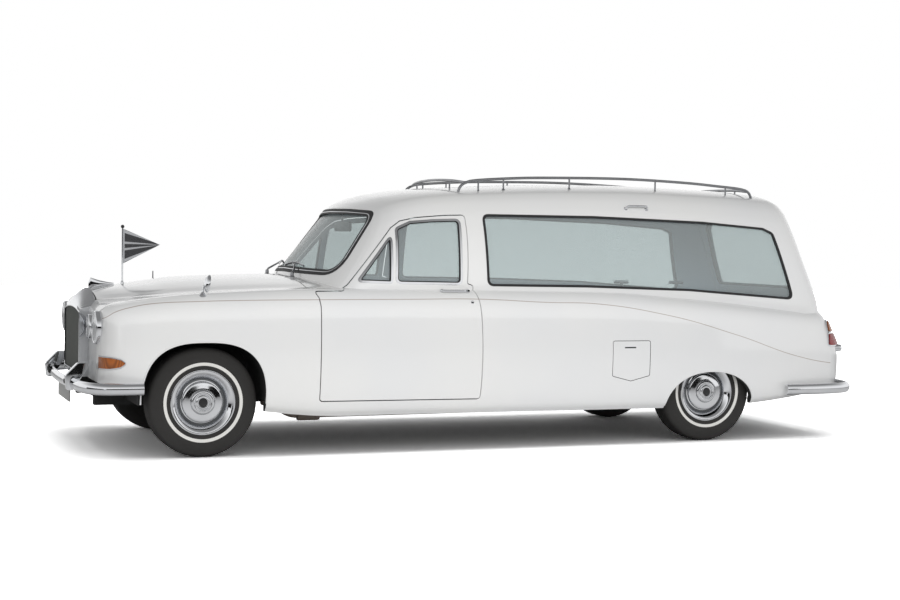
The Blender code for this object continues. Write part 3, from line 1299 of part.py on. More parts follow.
def build_deck(made):
    """The deck of the load bay on its legs, with the bier's pins."""
    deck = box("deck", (DECK_FRONT_X, -DECK_HALF_WIDTH, DECK_TOP_Z - DECK_THICK),
               (DECK_REAR_X, DECK_HALF_WIDTH, DECK_TOP_Z), "deck")
    under = DECK_TOP_Z - DECK_THICK / 2
    places = [along(share) for share in DECK_LEG_SHARES]
    for x in places:
        foot = SEAT_GAP + FLOOR_THICK + (FLOOR_Z if x < FLOOR_STEP_X - OVERRUN / 4 else REAR_FLOOR_Z)
        joined(deck, box("leg", (x, -LEG_HALF_WIDTH, foot), (x + LEG_THICK, LEG_HALF_WIDTH, under), "deck"))
    spine_z = REAR_FLOOR_Z + 2 * FLOOR_THICK
    joined(deck, box("spine", (places[0], -LEG_THICK / 2, spine_z), (places[-1] + LEG_THICK, LEG_THICK / 2, under), "deck"))
    for share in BIER_PIN_SHARES:
        x, top = along(share), DECK_TOP_Z + BIER_PIN_HEIGHT
        joined(deck, rod("pin", (x, 0, under), (x, 0, top), BIER_PIN_RADIUS, "deck"),
               rod("bar", (x - BIER_PIN_BAR / 2, 0, top), (x + BIER_PIN_BAR / 2, 0, top), BIER_PIN_RADIUS, "deck"))
    made["deck"] = deck


def build_suspension(made):
    """The front crossmember with the knuckles' yokes, and the rear axle on its leaf springs."""
    half = MEMBER_LENGTH / 2
    wide = KINGPIN_Y - MEMBER_INSET
    member = box("crossmember", (FRONT_AXLE_X - half, -wide, WHEEL_Z - MEMBER_DROP),
                 (FRONT_AXLE_X + half, wide, RAIL_Z - SEAT_GAP), "dark")
    for _, sign in SIDES:
        low, high = span(sign, KINGPIN_Y - YOKE_START_INSET, KINGPIN_Y - YOKE_END_INSET)
        joined(member, box("yoke", (FRONT_AXLE_X - YOKE_LENGTH / 2, low, WHEEL_Z - YOKE_DROP),
                           (FRONT_AXLE_X + YOKE_LENGTH / 2, high, WHEEL_Z - KNUCKLE_DROP - SEAT_GAP), "dark"))
    made["crossmember"] = member
    reach = HUB_FACE_Y - SEAT_GAP
    axle = rod("rear_axle", (REAR_AXLE_X, -reach, WHEEL_Z), (REAR_AXLE_X, reach, WHEEL_Z), AXLE_RADIUS, "dark", 16)
    spring_z = WHEEL_Z + SPRING_RISE
    for _, sign in SIDES:
        middle = TRACK / 2 - SPRING_INSET
        low, high = span(sign, middle - SPRING_WIDTH / 2, middle + SPRING_WIDTH / 2)
        front, rear = REAR_AXLE_X - SPRING_FRONT, REAR_AXLE_X + SPRING_REAR
        joined(axle, box("spring", (front, low, spring_z), (rear, high, spring_z + SPRING_THICK), "dark"))
        for x in (front, rear - HANGER_LENGTH):
            hanger_low = spring_z + SPRING_THICK / 2
            joined(axle, box("hanger", (x, low, hanger_low), (x + HANGER_LENGTH, high, REAR_FLOOR_Z - SEAT_GAP), "dark"))
    made["rear_axle"] = axle
    for side, sign in SIDES:
        low, high = span(sign, KINGPIN_Y - KNUCKLE_INSET, HUB_FACE_Y - SEAT_GAP)
        half = KNUCKLE_LENGTH / 2
        made["knuckle_" + side] = box("knuckle_" + side, (FRONT_AXLE_X - half, low, WHEEL_Z - KNUCKLE_DROP),
                                      (FRONT_AXLE_X + half, high, WHEEL_Z + KNUCKLE_RISE), "dark")


def build_engine(made):
    z = FLOOR_Z - SEAT_GAP - PIPE_RADIUS
    exhaust = rod("exhaust", (PIPE_FRONT_X, PIPE_Y, z), (PIPE_REAR_X, PIPE_Y, z), PIPE_RADIUS, "dark")
    z += PIPE_RADIUS - SILENCER_RADIUS
    made["exhaust"] = joined(exhaust, rod("silencer", (SILENCER_FRONT_X, PIPE_Y, z), (SILENCER_REAR_X, PIPE_Y, z),
                                          SILENCER_RADIUS, "dark", 12))
    engine = prism("engine", mirrored(front_view(ENGINE_SHARES)), ENGINE_FRONT_X, ENGINE_REAR_X, "X", "dark")
    for _, sign in SIDES:
        low, high = span(sign, MOUNT_IN_Y, IRON_Y - RAIL_WIDTH / 2 - SEAT_GAP)
        mount_z = RAIL_Z + RAIL_HEIGHT / 2
        joined(engine, box("mount", (MOUNT_X, low, mount_z), (MOUNT_X + MOUNT_LENGTH, high, mount_z + IRON_HEIGHT), "dark"))
    top = up(ENGINE_SHARES[-1][1]) - IRON_HEIGHT
    profile = [(0, top), (AIR_CLEANER_RADIUS, top), (AIR_CLEANER_RADIUS, AIR_CLEANER_TOP_Z), (0, AIR_CLEANER_TOP_Z)]
    joined(engine, turned("cleaner", profile, (AIR_CLEANER_X, 0, 0), "Z", LAMP_SEGMENTS, "dark"))
    made["engine"] = engine


def build_cabin(made):
    foot = FLOOR_Z + FLOOR_THICK + SEAT_GAP
    made["seat_cushion"] = box("seat_cushion", (CUSHION_FRONT_X, -CUSHION_HALF_WIDTH, foot),
                               (CUSHION_REAR_X, CUSHION_HALF_WIDTH, CUSHION_TOP_Z), "leather")
    outline = side_view(SEAT_BACK_SHARES)
    rear_x = CUSHION_REAR_X + SEAT_GAP
    outline = [(rear_x, foot), (outline[0][0], foot)] + outline[1:3] + [(rear_x, outline[3][1])]
    made["seat_back"] = prism("seat_back", outline, -SEAT_BACK_HALF_WIDTH, SEAT_BACK_HALF_WIDTH, "Y", "leather")
    outline = side_view(DASH_SHARES)
    front_x = WALL_REAR_X + SEAT_GAP
    outline = [(front_x, outline[0][1])] + outline + [(front_x, min(outline[1][1], WALL_TOP_Z))]
    dash = prism("dashboard", outline, -DASH_HALF_WIDTH, DASH_HALF_WIDTH, "Y", "trim")
    made["dashboard"] = dash
    profile = [(STEERING_RADIUS + a, b) for a, b in circle(STEERING_GRIP)]
    wheel = turned("steering_wheel", profile, (0, 0, 0), "X", material="dark")
    half, thin = SPOKE_WIDTH / 2, STEERING_GRIP / 2
    joined(wheel, box("spoke", (-thin, -STEERING_RADIUS, -half), (thin, STEERING_RADIUS, half), "dark"),
           rod("column", (-COLUMN_LENGTH, 0, 0), (STEERING_GRIP, 0, 0), COLUMN_RADIUS, "dark"))
    place = Matrix.Translation((STEERING_X, STEERING_Y, STEERING_Z))
    wheel.data.transform(place @ Matrix.Rotation(-math.radians(STEERING_TILT), 4, "Y"))
    made["steering_wheel"] = smooth(seated(wheel, [dash], (1, 0, 0)))


def build_wheels(made):
    wheel_profile = [(RIM_RADIUS * r, RIM_WIDTH / 2 * t) for r, t in WHEEL_SHARES]
    inner = RIM_RADIUS + SEAT_GAP
    outside = [(inner + (TYRE_RADIUS - inner) * r, TYRE_WIDTH / 2 * t) for r, t in TYRE_SHARES]
    tyre_profile = outside + [(r, -t) for r, t in reversed(outside)]
    for end, x in (("front", FRONT_AXLE_X), ("rear", REAR_AXLE_X)):
        for side, sign in SIDES:
            name = f"{end}_{side}"
            wheel = turned("wheel_" + name, wheel_profile, (0, 0, 0), material="chrome", sign=sign)
            tyre = turned("tyre_" + name, tyre_profile, (0, 0, 0), material="rubber", sign=sign)
            for piece in (wheel, tyre):
                piece.location = (x, sign * TRACK / 2, WHEEL_Z)
                made[piece.name] = piece


# Joints


def pivot(shape, place):
    """Moves a piece's origin to a place, and leaves its shape where it is."""
    shape.data.transform(Matrix.Translation(-Vector(place)))
    shape.location = place


def set_pivots(made):
    """Puts the origin of each moving piece on its joint's axis."""
    for name in ("bonnet", "ornament", "flag_mast", "pennant"):
        pivot(made[name], (BONNET_REAR_X, 0, crown_z(BONNET_REAR_X)))
    for name in ("tailgate", "tailgate_glass"):
        pivot(made[name], (TAILGATE_HINGE_X, 0, TAILGATE_TOP_Z))
    for side, sign in SIDES:
        for name in ("door_", "door_glass_", "quarter_light_"):
            pivot(made[name + side], (DOOR_HINGE_X, sign * HALF_WIDTH, WAIST_Z))
        pivot(made["flap_" + side], (FLAP_HINGE_X, sign * HALF_WIDTH, FLAP_HINGE_Z))
        pivot(made["knuckle_" + side], (FRONT_AXLE_X, sign * KINGPIN_Y, WHEEL_Z))


def main():
    for old in list(bpy.data.objects):
        bpy.data.objects.remove(old)
    made = {}
    build_panels(made)
    build_lights(made)
    build_grille(made)
    build_bumpers(made)
    build_roof_rail(made)
    build_bonnet_pieces(made)
    build_mirror(made)
    build_door_handles(made)
    build_flaps(made)
    build_floor(made)
    build_deck(made)
    build_suspension(made)
    build_engine(made)
    build_cabin(made)
    build_wheels(made)
    set_pivots(made)


main()
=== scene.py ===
"""The looks of a white limousine hearse, built round its solid frame.

Everything is in metres: X runs to the tail, Y to the car's right side, Z up, with the ground at zero.
"""

import logging
import math
from collections.abc import Callable
from dataclasses import dataclass
from enum import Enum

import bmesh
import bpy
import numpy as np
from mathutils import Matrix, Vector


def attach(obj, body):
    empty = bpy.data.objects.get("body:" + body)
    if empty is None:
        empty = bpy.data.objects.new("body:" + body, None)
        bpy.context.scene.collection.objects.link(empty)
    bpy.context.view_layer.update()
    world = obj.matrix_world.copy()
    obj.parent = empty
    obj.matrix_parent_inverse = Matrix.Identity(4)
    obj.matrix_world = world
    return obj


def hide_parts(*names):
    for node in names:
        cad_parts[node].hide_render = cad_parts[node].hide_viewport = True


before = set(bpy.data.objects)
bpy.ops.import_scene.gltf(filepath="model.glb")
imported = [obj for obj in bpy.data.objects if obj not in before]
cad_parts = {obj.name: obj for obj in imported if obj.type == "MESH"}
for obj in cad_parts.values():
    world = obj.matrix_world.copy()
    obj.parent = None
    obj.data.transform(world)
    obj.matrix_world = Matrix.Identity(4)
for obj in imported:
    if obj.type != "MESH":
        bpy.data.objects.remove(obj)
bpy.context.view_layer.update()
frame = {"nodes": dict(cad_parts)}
LOG = logging.getLogger("hearse")

Number = float | int
Piece = bpy.types.Object
Pair = tuple[float, float]
Point = tuple[float, float, float]
Colour = Point


class Side(Enum):
    """The two sides of the car, with the sign of Y on each."""

    LEFT = -1
    RIGHT = 1

    @property
    def word(self) -> str:
        """The side's name as the nodes have it."""
        return self.name.lower()


def operator(operation: str, reflected: bool = False) -> Callable:
    """An overloaded operator that adds a Math node, or the form of it that has the number first."""

    def apply(self: "Wire", other: "Wire | Number") -> "Wire":
        """The operation's value."""
        return self._math(operation, *((other, self) if reflected else (self, other)))

    return apply


class Wire:
    """A value on its way through a material's nodes. It takes part in sums as a number does."""

    def __init__(self, tree: "Tree", socket: bpy.types.NodeSocket) -> None:
        """Keeps the tree and the socket that gives the value."""
        self.tree = tree
        self.socket = socket

    def _math(self, operation: str, *values: "Wire | Number") -> "Wire":
        """Adds a Math node for one operation on the values."""
        return self.tree.node("ShaderNodeMath", {"operation": operation}, dict(enumerate(values)))

    __add__, __radd__ = operator("ADD"), operator("ADD", reflected=True)
    __sub__, __rsub__ = operator("SUBTRACT"), operator("SUBTRACT", reflected=True)
    __mul__, __rmul__ = operator("MULTIPLY"), operator("MULTIPLY", reflected=True)
    __truediv__, __rtruediv__ = operator("DIVIDE"), operator("DIVIDE", reflected=True)
    __pow__, __rpow__ = operator("POWER"), operator("POWER", reflected=True)

    def size(self) -> "Wire":
        """The value without its sign."""
        return self._math("ABSOLUTE", self)

    def larger(self, other: "Wire | Number") -> "Wire":
        """The larger of two values."""
        return self._math("MAXIMUM", self, other)

    def sine(self) -> "Wire":
        """The sine of the value in radians."""
        return self._math("SINE", self)

    def below(self, limit: "Wire | Number") -> "Wire":
        """One where the value is under the limit, and nought elsewhere."""
        return self._math("LESS_THAN", self, limit)

    def ramp(self, low: Number, high: Number) -> "Wire":
        """Nought at low, one at high, and held outside them."""
        inputs = {"Value": self, "From Min": low, "From Max": high}
        return self.tree.node("ShaderNodeMapRange", {"interpolation_type": "SMOOTHSTEP"}, inputs)


class Tree:
    """The node tree of one material, or of the world."""

    def __init__(self, name: str, world: bool = False) -> None:
        """Makes a material or a world that has only an output."""
        self.material = (bpy.data.worlds if world else bpy.data.materials).new(name)
        self.material.use_nodes = True
        self.nodes = self.material.node_tree.nodes
        self.nodes.clear()
        self.output = self.nodes.new("ShaderNodeOutput" + ("World" if world else "Material"))

    def node(self, kind: str, settings: dict | None = None, inputs: dict | None = None, out: int | str = 0) -> Wire:
        """Adds any node.

        Args:
            kind: the node's type.
            settings: what is set on the node itself, before its sockets.
            inputs: a value or a wire for each socket, by name or number.
            out: the output that is wanted.

        Returns:
            The wire from that output.
        """
        made = self.nodes.new(kind)
        for name, value in (settings or {}).items():
            setattr(made, name, value)
        for name, value in (inputs or {}).items():
            self.feed(made.inputs[name], value)
        return Wire(self, made.outputs[out])

    def feed(self, socket: bpy.types.NodeSocket, value: object) -> None:
        """Links a wire to a socket, or sets a plain value on it."""
        if isinstance(value, Wire):
            self.material.node_tree.links.new(value.socket, socket)
        elif isinstance(value, tuple) and len(value) == 3 and socket.type == "RGBA":
            socket.default_value = (*value, 1.0)
        else:
            socket.default_value = value

    def place(self) -> Wire:
        """The point on the piece, in the car's own metres."""
        return self.node("ShaderNodeTexCoord", out="Object")

    def axes(self) -> tuple[Wire, Wire, Wire]:
        """The three coordinates of the point."""
        split = self.node("ShaderNodeSeparateXYZ", inputs={0: self.place()})
        return tuple(Wire(self, socket) for socket in split.socket.node.outputs)

    def ray(self, kind: str) -> Wire:
        """One for a ray of that kind, and nought for any other."""
        return self.node("ShaderNodeLightPath", out=f"Is {kind} Ray")

    def noise(self, scale: float, detail: float = 3.0, stretch: Point | None = None) -> Wire:
        """Cloudy noise from 0 to 1.

        Args:
            scale: how many clouds fit in a metre.
            detail: how many finer layers it has.
            stretch: a factor on each axis before the noise is read.

        Returns:
            The noise's wire.
        """
        where = self.place()
        if stretch:
            where = self.node("ShaderNodeMapping", inputs={"Vector": where, "Scale": stretch})
        return self.node("ShaderNodeTexNoise", inputs={"Vector": where, "Scale": scale, "Detail": detail})

    def blend(self, share: Wire | Number, first: object, second: object) -> Wire:
        """A mix of two colours, each a wire or three numbers."""
        inputs = {"Factor": share, 6: first, 7: second}
        return self.node("ShaderNodeMix", {"data_type": "RGBA"}, inputs, 2)

    def bump(self, height: Wire, depth: float, strength: float = 1.0) -> Wire:
        """A normal bent by a height from 0 to 1 that stands for depth metres."""
        return self.node("ShaderNodeBump", inputs={"Height": height, "Distance": depth, "Strength": strength})

    def principled(self, **inputs: object) -> Wire:
        """The Principled shader, with its sockets named in words joined by underscores."""
        return self.node("ShaderNodeBsdfPrincipled", inputs={k.replace("_", " "): v for k, v in inputs.items()})

    def show(self, shader: Wire) -> bpy.types.Material:
        """Sends a shader to the output and gives the finished material."""
        self.material.node_tree.links.new(shader.socket, self.output.inputs["Surface"])
        return self.material


@dataclass(frozen=True)
class Finish:
    """A finish that any piece can take. Each kind of finish builds its own nodes."""

    name: str

    def surface(self, tree: Tree) -> Wire:
        """The shader of this finish."""
        raise NotImplementedError

    def material(self) -> bpy.types.Material:
        """The material, made on its first use."""
        return bpy.data.materials.get(self.name) or self.make()

    def make(self) -> bpy.types.Material:
        """Builds the material from its nodes."""
        tree = Tree(self.name)
        return tree.show(self.surface(tree))


@dataclass(frozen=True)
class Paint(Finish):
    """Polished coach paint, with a soft shift of tone and the faint ripple of hand finishing."""

    colour: Colour
    shade: Colour
    roughness: float = 0.22
    coat: float = 1.0

    def surface(self, tree: Tree) -> Wire:
        """White paint whose tone drifts a little and whose coat ripples faintly."""
        tone = tree.noise(0.9).ramp(0.3, 0.7)
        fine = tree.noise(420.0, 2.0)
        return tree.principled(
            Base_Color=tree.blend(tone, self.colour, self.shade),
            Roughness=self.roughness + 0.05 * tree.noise(6.0),
            Coat_Weight=self.coat,
            Coat_Roughness=0.06,
            Specular_IOR_Level=0.5,
            Normal=tree.bump(fine, 0.00002),
        )


@dataclass(frozen=True)
class Metal(Finish):
    """Bright or plain metal, with faint polishing streaks and a few duller clouds."""

    colour: Colour
    roughness: float
    streak: float = 0.04

    def surface(self, tree: Tree) -> Wire:
        """Metal whose roughness drifts and streaks along the car."""
        haze = tree.noise(9.0).ramp(0.35, 0.75)
        lines = tree.noise(160.0, 2.0, (0.15, 1.0, 1.0))
        return tree.principled(
            Base_Color=tree.blend(0.25 * haze, self.colour, tuple(0.8 * c for c in self.colour)),
            Metallic=1.0,
            Roughness=self.roughness + self.streak * haze + 0.5 * self.streak * lines,
            Normal=tree.bump(lines, 0.00001),
        )


@dataclass(frozen=True)
class Pane(Finish):
    """Tinted glass: mostly clear from the front, and more of a mirror at a slant."""

    tint: Colour
    clear: float

    def surface(self, tree: Tree) -> Wire:
        """A gloss over a clear tint, mixed by the angle at which the pane is seen."""
        gloss = tree.principled(Base_Color=self.tint, Roughness=0.03 + 0.02 * tree.noise(3.0), Specular_IOR_Level=0.8)
        through = tree.node("ShaderNodeBsdfTransparent", inputs={"Color": self.tint})
        facing = tree.node("ShaderNodeLayerWeight", inputs={"Blend": 0.25}, out="Facing")
        share = (1.0 - self.clear) + self.clear * 0.7 * facing ** 2.0
        return tree.node("ShaderNodeMixShader", inputs={0: share, 1: through, 2: gloss})


@dataclass(frozen=True)
class Soft(Finish):
    """Rubber, moulded plastic, carpet or underseal: dull, with a grain in it."""

    colour: Colour
    roughness: float
    grain: float = 300.0
    depth: float = 0.0002
    fleck: float = 0.35

    def surface(self, tree: Tree) -> Wire:
        """A dull surface with grain in its height and flecks in its tone."""
        grain = tree.noise(self.grain, 4.0)
        cloud = tree.noise(self.grain * 0.04)
        light = tuple(min(1.0, c * (1.0 + self.fleck) + 0.01) for c in self.colour)
        return tree.principled(
            Base_Color=tree.blend(0.5 * grain + 0.5 * cloud, self.colour, light),
            Roughness=self.roughness + 0.1 * cloud,
            Normal=tree.bump(grain, self.depth),
        )


@dataclass(frozen=True)
class Lens(Finish):
    """A moulded lamp lens with fine vertical flutes, lit from within its own colour."""

    colour: Colour
    flute: float = 0.006
    metallic: float = 0.0
    glow: float = 0.0

    def surface(self, tree: Tree) -> Wire:
        """A glossy lens whose flutes run upright, with painted shade darkening the trough of each flute."""
        x, y, _ = tree.axes()
        flutes = 0.5 + 0.5 * ((x + y) * (2.0 * math.pi / self.flute)).sine()
        # deep is the darker colour painted into the flutes' troughs as their shade; the blend puts it where the bump
        # is lowest
        deep = tuple(0.55 * c for c in self.colour)
        return tree.principled(
            Base_Color=tree.blend(flutes, deep, self.colour),
            Metallic=self.metallic,
            Roughness=0.08 + 0.05 * flutes,
            Coat_Weight=0.35,
            Coat_Roughness=0.03,
            Emission_Color=(*self.colour, 1.0),
            Emission_Strength=self.glow,
            Normal=tree.bump(flutes, 0.0006),
        )


@dataclass(frozen=True)
class Coachpaint(Paint):
    """Coach paint with a fine line of a second colour along the body's crease."""

    line_colour: Colour = (0.42, 0.36, 0.33)
    half_line: float = 0.0023
    # along, height
    line: tuple[Pair, ...] = (
        (-2.7, 0.84), (-2.62, 0.872), (-2.56, 0.912), (-2.481, 0.938), (-2.342, 0.964), (-2.065, 0.979),
        (-1.808, 0.986), (-1.308, 0.992), (-0.7, 0.996), (-0.214, 0.998), (0.289, 0.977), (0.617, 0.97),
        (1.158, 0.895),
        (1.72, 0.755), (2.304, 0.583), (2.543, 0.543), (2.7, 0.53),
    )

    def line_height(self, tree: Tree, x: Wire) -> Wire:
        """The line's height at a place along the car, read from a curve through its points."""
        low, high = self.line[0][0], self.line[-1][0]
        node = tree.nodes.new("ShaderNodeFloatCurve")
        curve = node.mapping.curves[0]
        for place, height in self.line[1:-1]:
            curve.points.new((place - low) / (high - low), height)
        curve.points[0].location = (0.0, self.line[0][1])
        curve.points[len(curve.points) - 1].location = (1.0, self.line[-1][1])
        node.mapping.update()
        tree.feed(node.inputs["Value"], (x - low) / (high - low))
        return Wire(tree, node.outputs[0])

    def surface(self, tree: Tree) -> Wire:
        """White paint whose tone drifts a little, with the line where the height is close to the curve's."""
        x, y, z = tree.axes()
        near = (z - self.line_height(tree, x)).size()
        mask = near.ramp(self.half_line + 0.0006, self.half_line - 0.0006) * (1.0 - y.size().below(0.7))
        mask = mask * (1.0 - x.below(self.line[0][0] + 0.03)) * x.below(2.545)
        tone = tree.noise(0.9).ramp(0.3, 0.7)
        return tree.principled(
            Base_Color=tree.blend(mask, tree.blend(tone, self.colour, self.shade), self.line_colour),
            Roughness=self.roughness + 0.05 * tree.noise(6.0),
            Coat_Weight=self.coat,
            Coat_Roughness=0.06,
            Specular_IOR_Level=0.5,
            Normal=tree.bump(tree.noise(420.0, 2.0), 0.00002),
        )


@dataclass(frozen=True)
class Flag(Finish):
    """Black woven cloth with a pale border and two pale stripes along its middle."""

    dark: Colour = (0.012, 0.012, 0.014)
    pale: Colour = (0.55, 0.56, 0.58)
    mast_x: float = -2.38
    length: float = 0.25
    middle: float = 1.305
    drop: float = 0.012
    half: float = 0.115

    def surface(self, tree: Tree) -> Wire:
        """The distance from the flag's middle line, as a share of its half height there, gives the stripes."""
        x, _, z = tree.axes()
        along = (x - self.mast_x) / self.length
        share = (z - self.middle - self.drop * along).size() / (self.half * (1.04 - along))
        border = share.ramp(0.74, 0.78) * (1.0 - share.ramp(0.93, 0.96)) + (1.0 - along.ramp(0.05, 0.06))
        stripes = border + share.ramp(0.1, 0.14) * (1.0 - share.ramp(0.24, 0.28)) * 0.8
        weave = (0.5 + 0.5 * (x * 4200.0).sine()) * (0.5 + 0.5 * (z * 4200.0).sine())
        mask = stripes.ramp(0.0, 1.0)
        return tree.principled(
            Base_Color=tree.blend(0.25 * weave + mask * 0.75, self.dark, self.pale),
            Roughness=0.75 - 0.2 * mask,
            Sheen_Weight=0.3,
            Normal=tree.bump(weave, 0.0002),
        )


@dataclass(frozen=True)
class Veneer(Finish):
    """Polished wood with its grain along the car."""

    dark: Colour
    light: Colour
    roughness: float = 0.38

    def surface(self, tree: Tree) -> Wire:
        """Long clouds for the figure, and finer ones within them for the pores."""
        figure = tree.noise(5.0, 4.0, (0.6, 6.0, 6.0))
        pores = tree.noise(60.0, 2.0, (0.3, 5.0, 5.0))
        return tree.principled(
            Base_Color=tree.blend(figure.ramp(0.3, 0.7) * 0.75 + pores * 0.25, self.dark, self.light),
            Roughness=self.roughness + 0.12 * pores,
            Coat_Weight=0.4,
            Coat_Roughness=0.15,
            Normal=tree.bump(pores, 0.0001),
        )


PAINT = Coachpaint("coach_white", (0.8, 0.8, 0.79), (0.77, 0.775, 0.78))
CHROME = Metal("bright_chrome", (0.76, 0.77, 0.79), 0.05)
STEEL = Metal("satin_steel", (0.34, 0.345, 0.36), 0.28, 0.1)
GLASS = Pane("tinted_glass", (0.84, 0.88, 0.88), 0.82)
SLATS = Soft("dull_slats", (0.085, 0.09, 0.083), 0.5, 40.0, 0.00003, 0.1)
RUBBER = Soft("window_rubber", (0.012, 0.012, 0.013), 0.55)
TREAD = Soft("tyre_rubber", (0.022, 0.021, 0.02), 0.75, 180.0, 0.0004)
WHITE_RUBBER = Soft("white_rubber", (0.72, 0.71, 0.68), 0.6, 200.0, 0.0001, 0.1)
UNDERSEAL = Soft("underseal", (0.018, 0.018, 0.018), 0.85, 90.0, 0.0012)
TRIM = Soft("grey_headlining", (0.64, 0.71, 0.8), 0.85, 500.0, 0.0003, 0.1)
LEATHER = Soft("grey_hide", (0.2, 0.21, 0.22), 0.45, 260.0, 0.0005, 0.2)
DECK = Veneer("deck_veneer", (0.055, 0.048, 0.043), (0.085, 0.077, 0.07))
WALNUT = Veneer("walnut_veneer", (0.11, 0.048, 0.02), (0.24, 0.12, 0.055), 0.25)
SILENCER = Soft("weathered_steel", (0.17, 0.14, 0.12), 0.6, 70.0, 0.0003, 0.4)
BLACK = Soft("black_enamel", (0.015, 0.015, 0.016), 0.25, 40.0, 0.00002, 0.1)
FLAG = Flag("flag_cloth")
RIM = Paint("rim_grey", (0.1, 0.105, 0.11), (0.08, 0.085, 0.09), 0.35, 0.4)
PLATE = Soft("plate_grey", (0.36, 0.36, 0.35), 0.35, 30.0, 0.00003, 0.05)
AMBER = Lens("amber_lens", (0.42, 0.11, 0.01), 0.008)
RED = Lens("red_lens", (0.3, 0.004, 0.008), 0.008)
HEADLAMP = Lens("clear_lens", (0.78, 0.8, 0.82), 0.01, 0.35)

Table = np.ndarray
Rows = tuple[tuple[float, ...], ...]
FRONT_AXLE_X, REAR_AXLE_X, WHEEL_Z, TRACK = -2.01, 1.571, 0.345, 1.473
SHUT_GAP, SEAT_GAP, DROP_BELOW = 0.0065, 0.0003, 0.3
MERGE_DISTANCE = 0.000005
PAST_END, PAST_SIDE = 3.14, 1.278
FRONT_SPAN, REAR_SPAN = (-PAST_END, -0.5, "X"), (2.0, PAST_END, "X")
PANEL_CREASE = 28


def curve_through(points: Table, steps: int) -> Table:
    """A smooth curve through rows of points.

    Between two rows it is the cubic whose slope at each is half the way between that row's neighbours. Past
    the ends, the first and last steps are carried straight on.

    Args:
        points: one row for each point, with any number of columns.
        steps: how many parts each span is cut into.

    Returns:
        The curve's rows.
    """
    rows = np.asarray(points, float)
    rows = np.vstack((2 * rows[:1] - rows[1:2], rows, 2 * rows[-1:] - rows[-2:-1]))
    t = np.linspace(0, 1, steps, endpoint=False)[None, :, None]
    a, b, c, d = rows[:-3, None], rows[1:-2, None], rows[2:-1, None], rows[3:, None]
    curve = 0.5 * (2 * b + (c - a) * t + (2 * a - 5 * b + 4 * c - d) * t**2 + (3 * b - a - 3 * c + d) * t**3)
    return np.vstack((curve.reshape(-1, rows.shape[1]), rows[-2:-1]))


def unit(rows: Table) -> Table:
    """Each row's vector at length one."""
    return rows / np.maximum(np.linalg.norm(rows, axis=-1, keepdims=True), 1e-12)


def grown(outline: Table, distance: float) -> Table:
    """A closed outline moved outwards: each corner goes by the mitre's length, midway between its sides' normals."""
    points = np.asarray(outline, float)
    after = np.roll(points, -1, axis=0)
    area = np.sum(points[:, 0] * after[:, 1] - after[:, 0] * points[:, 1])
    ahead = unit(after - points)
    behind = np.roll(ahead, 1, axis=0)
    turn = 1 if area > 0 else -1
    n1 = turn * np.stack((behind[:, 1], -behind[:, 0]), axis=1)
    n2 = turn * np.stack((ahead[:, 1], -ahead[:, 0]), axis=1)
    middle = unit(n1 + n2)
    return points + middle * (distance / np.maximum(0.35, np.sum(middle * n1, axis=1)))[:, None]


def rounded(outline: Table, radius: float, steps: int = 8) -> Table:
    """A closed outline whose sharp corners become quadratic curves that start a tangent's length from the corner."""
    points = np.asarray(outline, float)
    made = []
    for before, here, after in zip(np.roll(points, 1, axis=0), points, np.roll(points, -1, axis=0)):
        back, on = before - here, after - here
        reach_back, reach_on = np.linalg.norm(back), np.linalg.norm(on)
        angle = math.acos(max(-1.0, min(1.0, float(back @ on) / (reach_back * reach_on))))
        if angle > math.radians(160):
            made.append(here[None])
            continue
        reach = min(radius / math.tan(angle / 2), 0.45 * reach_back, 0.45 * reach_on)
        t = np.linspace(0, 1, steps + 1)[:, None]
        start, end = here + back / reach_back * reach, here + on / reach_on * reach
        made.append((1 - t) ** 2 * start + 2 * t * (1 - t) * here + t**2 * end)
    return np.vstack(made)


def mirrored(half: Rows) -> Table:
    """A whole outline from its right half, whose first and last points lie on the centre line."""
    rows = np.asarray(half, float)
    return np.vstack((rows, rows[-2:0:-1] * (-1, 1)))


